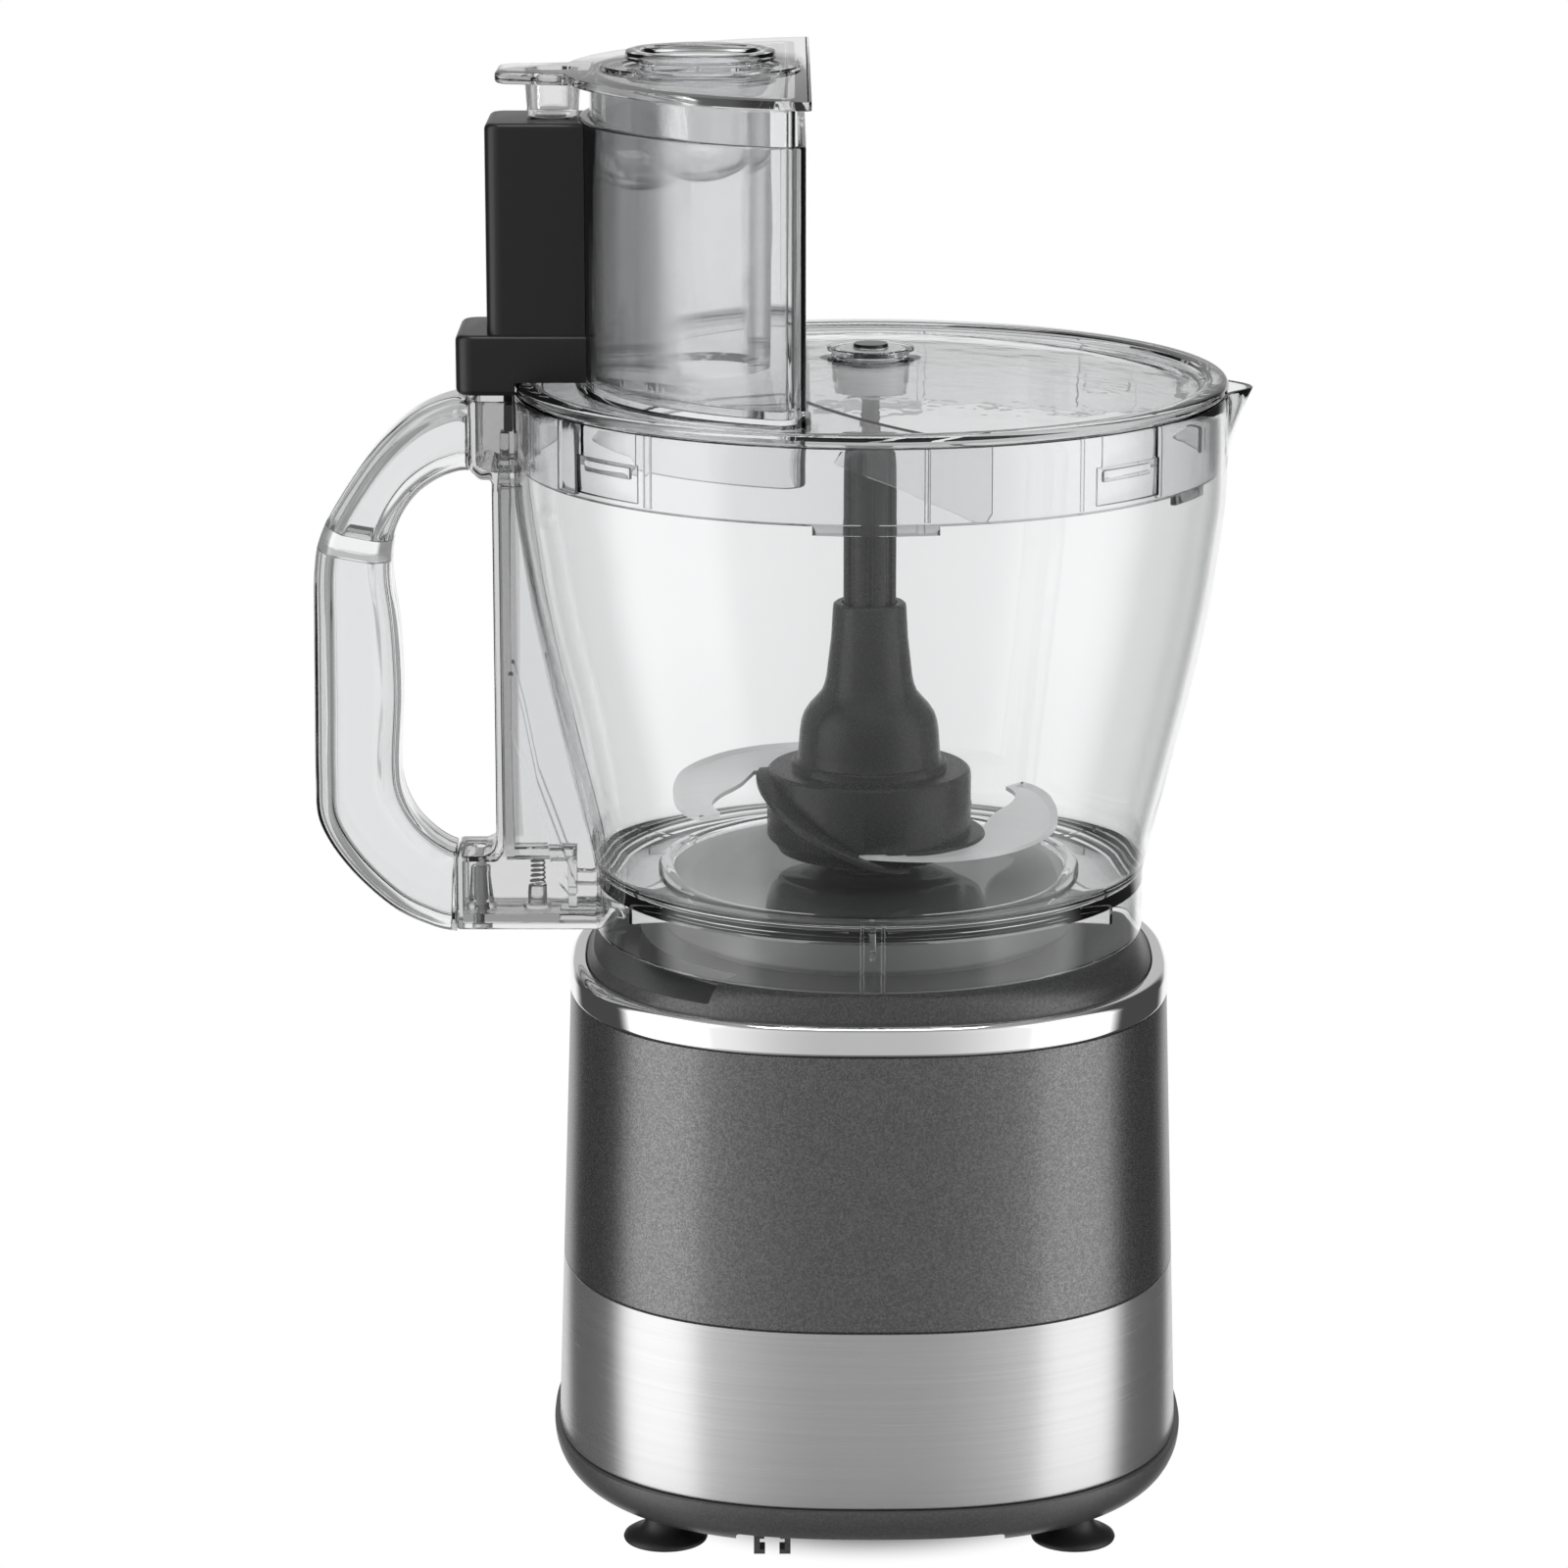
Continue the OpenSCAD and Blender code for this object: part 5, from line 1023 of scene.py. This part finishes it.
close_up(lid, 0.002)
hand_over(smooth(lid, 30), "lid", "clear_lid", clear_lid, "lid")

# %% [markdown]
# The pusher fills the tube: a hollow sealed body with a lipped plate on top, a round tube through it for
# the small pusher, and a tab at -X that carries the peg of the safety lock.

# %% Pusher
PLATE, PLATE_T, CUP_X, PEG_X, TOWER_TOP = 444, 2.6, -51.5, -96, 431.9
plate_r, plate_x = 93, -18.5
corner_y = sqrt(plate_r ** 2 - plate_x ** 2)
plate_outline = [(plate_x, corner_y - 1.5), (plate_x - 1.1, corner_y)]
plate_outline += [point for point in arc(0, 0, plate_r, 102, 258, 110) if point[0] < plate_x]
plate_outline += [(plate_x - 1.1, -corner_y), (plate_x, 1.5 - corner_y)]
pusher = plate("pusher_shell", plate_outline, PLATE, PLATE + PLATE_T, 0.7, 3)
tab_shape = arc(-107, 8, 6, 90, 180, 8) + arc(-107, -8, 6, 180, 270, 8)
tab_shape += [(-91, -17), (-84, -19), (-84, 19), (-91, 17)]
tab = plate("tab", tab_shape, PLATE - 1, PLATE + PLATE_T, 1.2, 4)
push_r, push_flat, push_low = 84.9, 23.1, 353.3
body = plate("pusher body", d_outline(push_r, push_flat, 4), push_low, PLATE + 0.6, 0.8, 3)
room_outline = d_outline(push_r - 2, push_flat + 2, 2.6)
cut(body, plate("pusher room", room_outline, push_low + 2, PLATE - 1, 0.8, 3))
cup_tube = rod("cup tube", (CUP_X, 0, push_low), 21, PLATE + 1 - push_low, sides=128, bevel=0.5)
peg = turned("peg", [(0, 432.2), (7.2, 432.2), (7.7, 432.6), (8.7, 444.5), (0, 444.5)], 64, (PEG_X, 0))
peg_foot = block("peg foot", (PEG_X - 5.5, -5.5, 423.5), (PEG_X + 4, 5.5, 440), 0.7, 2)
collar = turned("collar", [(23.6, 446.2), (23.6, 447.3), (24.1, 447.8), (29.9, 447.8), (30.4, 447.3),
                           (30.4, 446.2)], 128, (CUP_X, 0))
add(pusher, tab, body, cup_tube, peg, peg_foot, collar)
cut(pusher, rod("cup bore", (CUP_X, 0, push_low - 2), 19, 110, sides=128),
    rod("peg bore", (PEG_X, 0, 434.5), 6, 20, sides=48))
close_up(pusher, 0.002, turn=False)
hand_over(smooth(pusher, 30), "pusher", "clear_pusher", clear_pusher, "pusher")

# %% [markdown]
# The small pusher is a cup with a round floor and a flange that rests on the plate.

# %% Small pusher
CUP_R, CUP_IN, CUP_LOW = 18.6, 17, 408
cup_profile = [(CUP_R * sin(radians(9 * k)), CUP_LOW + 13 - 13 * cos(radians(9 * k))) for k in range(11)]
cup_profile += [(CUP_R, 440), (CUP_R, 448), (18.8, 448.9), (19.4, 449.2), (21.8, 449.2), (22.6, 449.6),
                (22.8, 450.3), (22.8, 451.2), (22.5, 451.9), (21.8, 452.2), (18.9, 452.2), (17.9, 451.7),
                (17.2, 450.6), (CUP_IN, 449), (CUP_IN, 440)]
cup_profile += [(CUP_IN * sin(radians(9 * k)), CUP_LOW + 13 - 11.2 * cos(radians(9 * k)))
                for k in range(10, -1, -1)]
cup = turned("small_cup", cup_profile, 160, (CUP_X, 0))
for turn in (30, 150, 270):
    fin = block("cup fin", (CUP_X + 17.6, -0.8, PLATE + PLATE_T + 0.3), (CUP_X + 21, 0.8, 450), 0.2, 2)
    add(cup, turn_piece(fin, -turn, "Z", (CUP_X * MM, 0, 0)))
hand_over(smooth(cup, 30), "small_pusher", "clear_cup", clear_cup, "small_pusher")

# %% [markdown]
# A black cover stands on the lid's rim beside the feed tube and hides the plunger of the safety lock. It
# is a low skirt and a tall tower, joined and then trimmed to the tube's round wall and the lid's rim.

# %% Safety lock cover
TOWER_X, SKIRT_X, STEM_X, COVER_LOW, SKIRT_TOP = -116, -125.5, -100, 350, 368.4


def rounded_outline(x0, x1, half, r):
    return (arc(x0 + r, half - r, r, 90, 180, 6) + arc(x0 + r, r - half, r, 180, 270, 6)
            + arc(x1 - r, r - half, r, 270, 360, 6) + arc(x1 - r, half - r, r, 0, 90, 6))


cover = plate("cover", rounded_outline(TOWER_X, -76, 18.5, 5), COVER_LOW + 4, TOWER_TOP, 2, 5)
add(cover, plate("cover skirt", rounded_outline(SKIRT_X, -76, 20, 5.5), COVER_LOW, SKIRT_TOP, 2, 5))
cut(cover, rod("tube side", (0, 0, 340), 88.15, 120, sides=240),
    rod("rim room", (0, 0, 330), 109.5, 24.2, sides=240),
    block("upper room", (TOWER_X + 2.6, -15.9, 392.5), (-89.8, 15.9, TOWER_TOP - 2.4), 0.8, 2),
    block("lower room", (TOWER_X + 2.6, -15.9, 356.5), (-89.8, 15.9, 390.5), 0.8, 2),
    block("skirt room", (SKIRT_X + 2.6, -16.5, 345), (-107.4, 16.5, SKIRT_TOP - 2.4), 0.8, 2),
    rod("stem way", (STEM_X, 0, 389), 2.9, 5, sides=40),
    block("peg way", (PEG_X - 6.5, -6.5, 425), (PEG_X + 5, 6.5, 434), 0.8, 2))
close_up(cover, 0.002)
hand_over(smooth(cover, 28), "lid", "cover_plastic", cover_black, "lock_cover")

plunger = block("plunger_body", (-105, -5.5, 420.2), (-91.5, 5.5, 423.2), 0.6, 2)
add(plunger, rod("stem", (STEM_X, 0, 371), 2.6, 51, sides=32),
    block("arm", (-111.9, -2.5, 361), (-98, 2.5, 364.5), 0.5, 2),
    block("arm end", (-102, -2.5, 361.1), (-98, 2.5, 373), 0.4, 2),
    block("tip", (-111.9, -2.45, 335.3), (-109.1, 2.45, 363), 0.6, 2))
hand_over(smooth(plunger, 30), "plunger", "cover_plastic", cover_black, "plunger")

# %% [markdown]
# The lock rod is a slim clear bar that runs up the bracket's post. Its foot bends back under the spring
# and ends in a pin over the safety switch in the deck.

# %% Lock rod
ROD_X, LEG_X = -111.7, -92.18
lock_rod = block("rod_bar", (ROD_X - 1.5, -4, 201.5), (ROD_X + 1.5, 4, 319.5), 0.5, 2)
add(lock_rod, block("rod top", (ROD_X - 1.4, -2.5, 315), (ROD_X + 1.4, 2.5, 335), 0.4, 2),
    block("rod foot", (ROD_X - 1.4, -3.9, 201.6), (LEG_X + 1.4, 3.9, 205), 0.4, 2),
    block("rod leg", (LEG_X - 1.4, -3, 186.4), (LEG_X + 1.4, 3, 204), 0.4, 2),
    block("rod toe", (LEG_X - 1.3, -2.9, 186.5), (-75, 2.9, 189.3), 0.4, 2),
    rod("rod pin", (-77, 0, 182.6), 1.8, 5, sides=32))
close_up(lock_rod, 0.002)
hand_over(smooth(lock_rod, 30), "rod", "clear_rod", clear_grip, "lock_rod")

# %% [markdown]
# Two springs push the rod and the plunger up. A spring is a round wire that climbs as it goes round, so
# its skin runs through small circles along that path.


# %% Springs
def spring(name, node, wire, body):
    low, high = (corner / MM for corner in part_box(node))
    middle, r = (low + high) / 2, (high.x - low.x) / 2 - wire / 2
    coils, steps, sides = 5, 24, 10
    rings = []
    for k in range(coils * steps + 1):
        turn = 2 * pi * k / steps
        z = lerp(low.z + wire / 2, high.z - wire / 2, k / (coils * steps))
        circle = [(r + u, v) for u, v in arc(0, 0, wire / 2, 0, -360, sides)[:-1]]
        rings.append([(middle.x + u * cos(turn), u * sin(turn), z + v) for u, v in circle])
    piece = smooth(capped(name, rings), 50)
    hand_over(piece, body, "spring_steel", spring_steel, node)
    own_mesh(piece)


spring("rod_coil", "rod_spring", 0.6, "bowl")
spring("plunger_coil", "plunger_spring", 0.8, "lid")

# %% [markdown]
# Centre of the lid: a white bush in the boss, and over it a small metal pin head.

# %% Bush and pin in the lid
bush = turned("bush", [(2.9, 347.3), (9.5, 347.3), (10, 347.8), (10.1, 352), (10.1, 359.5), (9.8, 359.8),
                       (5.6, 359.8), (5.2, 359.6), (5.1, 355.5), (2.9, 355.3)], 96)
hand_over(smooth(bush, 40), "lid", "white_bush", bush_white, "lid_bearing")
pin = turned("pin_head", [(0, 359.9), (4.9, 359.9), (5.3, 360.1), (5.35, 362.8), (5.1, 363.2),
                          (0, 363.25)], 96)
hand_over(smooth(pin, 30), "lid", "screw_steel", black_steel, "lid_pin")

# %% [markdown]
# The speed dial sits on the far side of the base. It is a turned knob with shallow grooves and a raised
# bar, in a plain bezel that carries the numbers. Both are made upright and then turned to face out.

# %% Dial and bezel
bezel_profile = [(4.5, 0), (25.6, 0), (25.9, 0.4), (26, 1), (26, 6.3), (25.7, 7.1), (25, 7.5),
                 (23.6, 7.5), (22.5, 7.2), (22.2, 6.6), (22.2, 3.2), (22, 3), (4.5, 3)]
bezel = turned("bezel_ring", bezel_profile, 144)
knob_profile = [(0, -9), (2.8, -9), (3, -8.7), (3, 0.3), (20.4, 0.3), (21, 0.9), (21, 10.6),
                (20.6, 11.8), (19.6, 12.5), (18, 12.7), (6, 12.2), (0, 12.1)]
knob = turned("knob", knob_profile, 144)
grooves = [rod("groove", (*polar(21.5, turn), 2), 1.1, 20, sides=20) for turn in range(0, 360, 15)]
cut(knob, join(grooves, "grooves"))
bar = block("knob bar", (-19.2, -4, 10), (19.2, 4, 16.6), 1.5, 4)
boolean(bar, rod("bar limit", (0, 0, 5), 19.2, 14, sides=96), "INTERSECT")
add(knob, bar)
cut(knob, block("knob mark", (-17, -0.7, 16), (-10, 0.7, 18), 0.2, 1))


def face_out(piece, start_y):
    """Turns a piece made upright so that its axis points to +Y at the dial's height."""
    turn_piece(piece, 90, "X")
    for vertex in piece.data.vertices:
        vertex.co += Vector((0, start_y, DIAL_Z)) * MM
    piece.data.update()


bezel_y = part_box("dial_bezel")[0].y / MM
face_out(bezel, bezel_y)
face_out(knob, bezel_y + 3.4)
hand_over(smooth(bezel, 30), "base", "chrome", dial_metal, "dial_bezel")
hand_over(smooth(knob, 34), "dial", "dial_finish", dial_metal, "speed_dial")

# %% [markdown]
# The numbers on the bezel are text, set round the dial and sunk into the ring so that they read as print.

# %% Numbers
numbers = []
for number in range(9):
    x, z = polar(24.1, 220 - 32.5 * number)
    bpy.ops.object.select_all(action="DESELECT")
    bpy.ops.object.text_add(location=(0, 0, 0))
    mark = newest("number")
    mark.data.body = str(number)
    mark.data.size = 3.6 * MM
    mark.data.align_x = "CENTER"
    mark.data.align_y = "CENTER"
    mark.data.extrude = 0.05 * MM
    mark.data.resolution_u = 4
    mark.rotation_euler = (radians(90), 0, radians(180))
    mark.location = (-x * MM, (bezel_y + 7.5) * MM, (DIAL_Z + z) * MM)
    take(mark)
    bpy.ops.object.convert(target="MESH")
    bpy.ops.object.transform_apply(location=True, rotation=True, scale=True)
    numbers.append(bpy.context.object)
numbers = join(numbers, "dial_numbers")
hand_over(numbers, "base", "cover_plastic", dark_plastic)

# %% [markdown]
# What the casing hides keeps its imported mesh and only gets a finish, so that it looks right when the
# machine is taken apart.

# %% Inner parts
inner_finish = {
    alloy: ["chassis", "motor_brackets"], iron: ["motor_stator"], copper: ["motor_rotor"],
    dark_plastic: ["motor_fan", "driven_pulley", "rotary_switch", "safety_switch"],
    shaft_steel: ["motor_pulley", "output_spindle"], belt_rubber: ["drive_belt"],
    bronze: ["lower_bearing", "upper_bearing"], board_green: ["control_board"],
    screw_steel: ["case_screws", "grip_screws"],
    foot_rubber: ["cord_gland"], tray_paint: ["cord_clip"]}
for material, names in inner_finish.items():
    for node_name in names:
        dress(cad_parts[node_name], material)
bare = [n for n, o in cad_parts.items() if not o.hide_render
        and not any(n in names for names in inner_finish.values())]
print("nodes without a finish:", bare)

# %% [markdown]
# The stage. Metal and clear plastic show little but their surroundings, so the world is drawn like a
# studio: grey in front, bright at two soft boxes beside the camera, dark at the sides and white behind.
# Only reflections and what is seen through the plastic use it. Lamps then light the plain colours.

# %% The studio's brightness in each direction
world = bpy.data.worlds.new("studio")
bpy.context.scene.world = world
w = Finish("studio", world)
x, y, z = w.split(w.node("ShaderNodeTexCoord", output="Generated"))
azimuth = w.node("ShaderNodeMath", {"operation": "ARCTAN2"}, {0: x, 1: y * -1})
azimuth = w.node("ShaderNodeMath", {"operation": "ABSOLUTE"}, {0: azimuth * degrees(1)})
through = w.ray("Is Transmission Ray")
not_low = w.step(z, -0.78, -0.38)
front = (w.step(azimuth, 4, 50) * 0.5 + 0.56) * (not_low * 0.72 + 0.28) * (1 - through * 0.4)
soft_box = w.step(azimuth, 44, 56) * (not_low * 0.76 + 0.24) * (1 - through * 0.5) * (1.1 - x * 0.12)
side = w.step(azimuth, 86, 104)
dark = through * 0.25 + 0.07
back = w.step(azimuth, 144, 158)
horizon = 1 - w.step(z, -0.04, 0.1) * 0.45
round_about = (front + soft_box) * (1 - side) + side * dark * (1 - back) + back * horizon
overhead = w.step(z, 0.62, 0.9)
studio = round_about * (1 - overhead) + overhead * 0.35
seen = w.ray("Is Camera Ray")
matt = w.ray("Is Diffuse Ray")
strength = seen + matt * 0.45 + studio * (1 - seen.at_least(matt))
sky = w.node("ShaderNodeBackground", {}, {"Color": grey(1.0), "Strength": strength})
end = w.tree.nodes.new("ShaderNodeOutputWorld")
w.tree.links.new(sky.socket, end.inputs["Surface"])

# %% Floor
bpy.ops.object.select_all(action="DESELECT")
bpy.ops.mesh.primitive_plane_add(size=40, location=(0, 0, 0))
floor = newest("floor")
f = Finish("floor_white")
spot = f.node("ShaderNodeTexCoord", output="Object")
distance = f.node("ShaderNodeVectorMath", {"operation": "LENGTH"}, {0: spot}, "Value")
plain = f.ray("Is Camera Ray") * f.step(distance, 0.055, 0.085)
card = f.node("ShaderNodeBsdfDiffuse", {}, {"Color": grey(0.93)})
white = f.node("ShaderNodeEmission", {}, {"Color": grey(1.0), "Strength": 1.0})
f.output(f.node("ShaderNodeMixShader", {}, {0: plain, 1: card, 2: white}))
dress(floor, f.material)
floor.visible_glossy = False
floor.visible_transmission = False


# %% Lamps
def lamp(name, place, size, watts, shiny=False):
    """A soft lamp that looks at the middle of the machine. Only matt surfaces see it, unless it's
    shiny."""
    bpy.ops.object.select_all(action="DESELECT")
    aim = (Vector((0, 0, 0.25)) - Vector(place)).to_track_quat("-Z", "Y")
    bpy.ops.object.light_add(type="AREA", location=place, rotation=aim.to_euler())
    light = bpy.context.object
    light.name = name
    light.data.shape = "RECTANGLE"
    light.data.size, light.data.size_y = size
    light.data.energy = watts
    light.visible_glossy = shiny
    light.visible_transmission = False
    return light


lamp("lamp_left", (-1.55, -0.52, 0.5), (0.55, 1.7), 24)
lamp("lamp_right", (1.55, -0.52, 0.5), (0.55, 1.7), 22)
lamp("lamp_top", (0, -0.2, 2.2), (1.2, 0.9), 15, shiny=True)
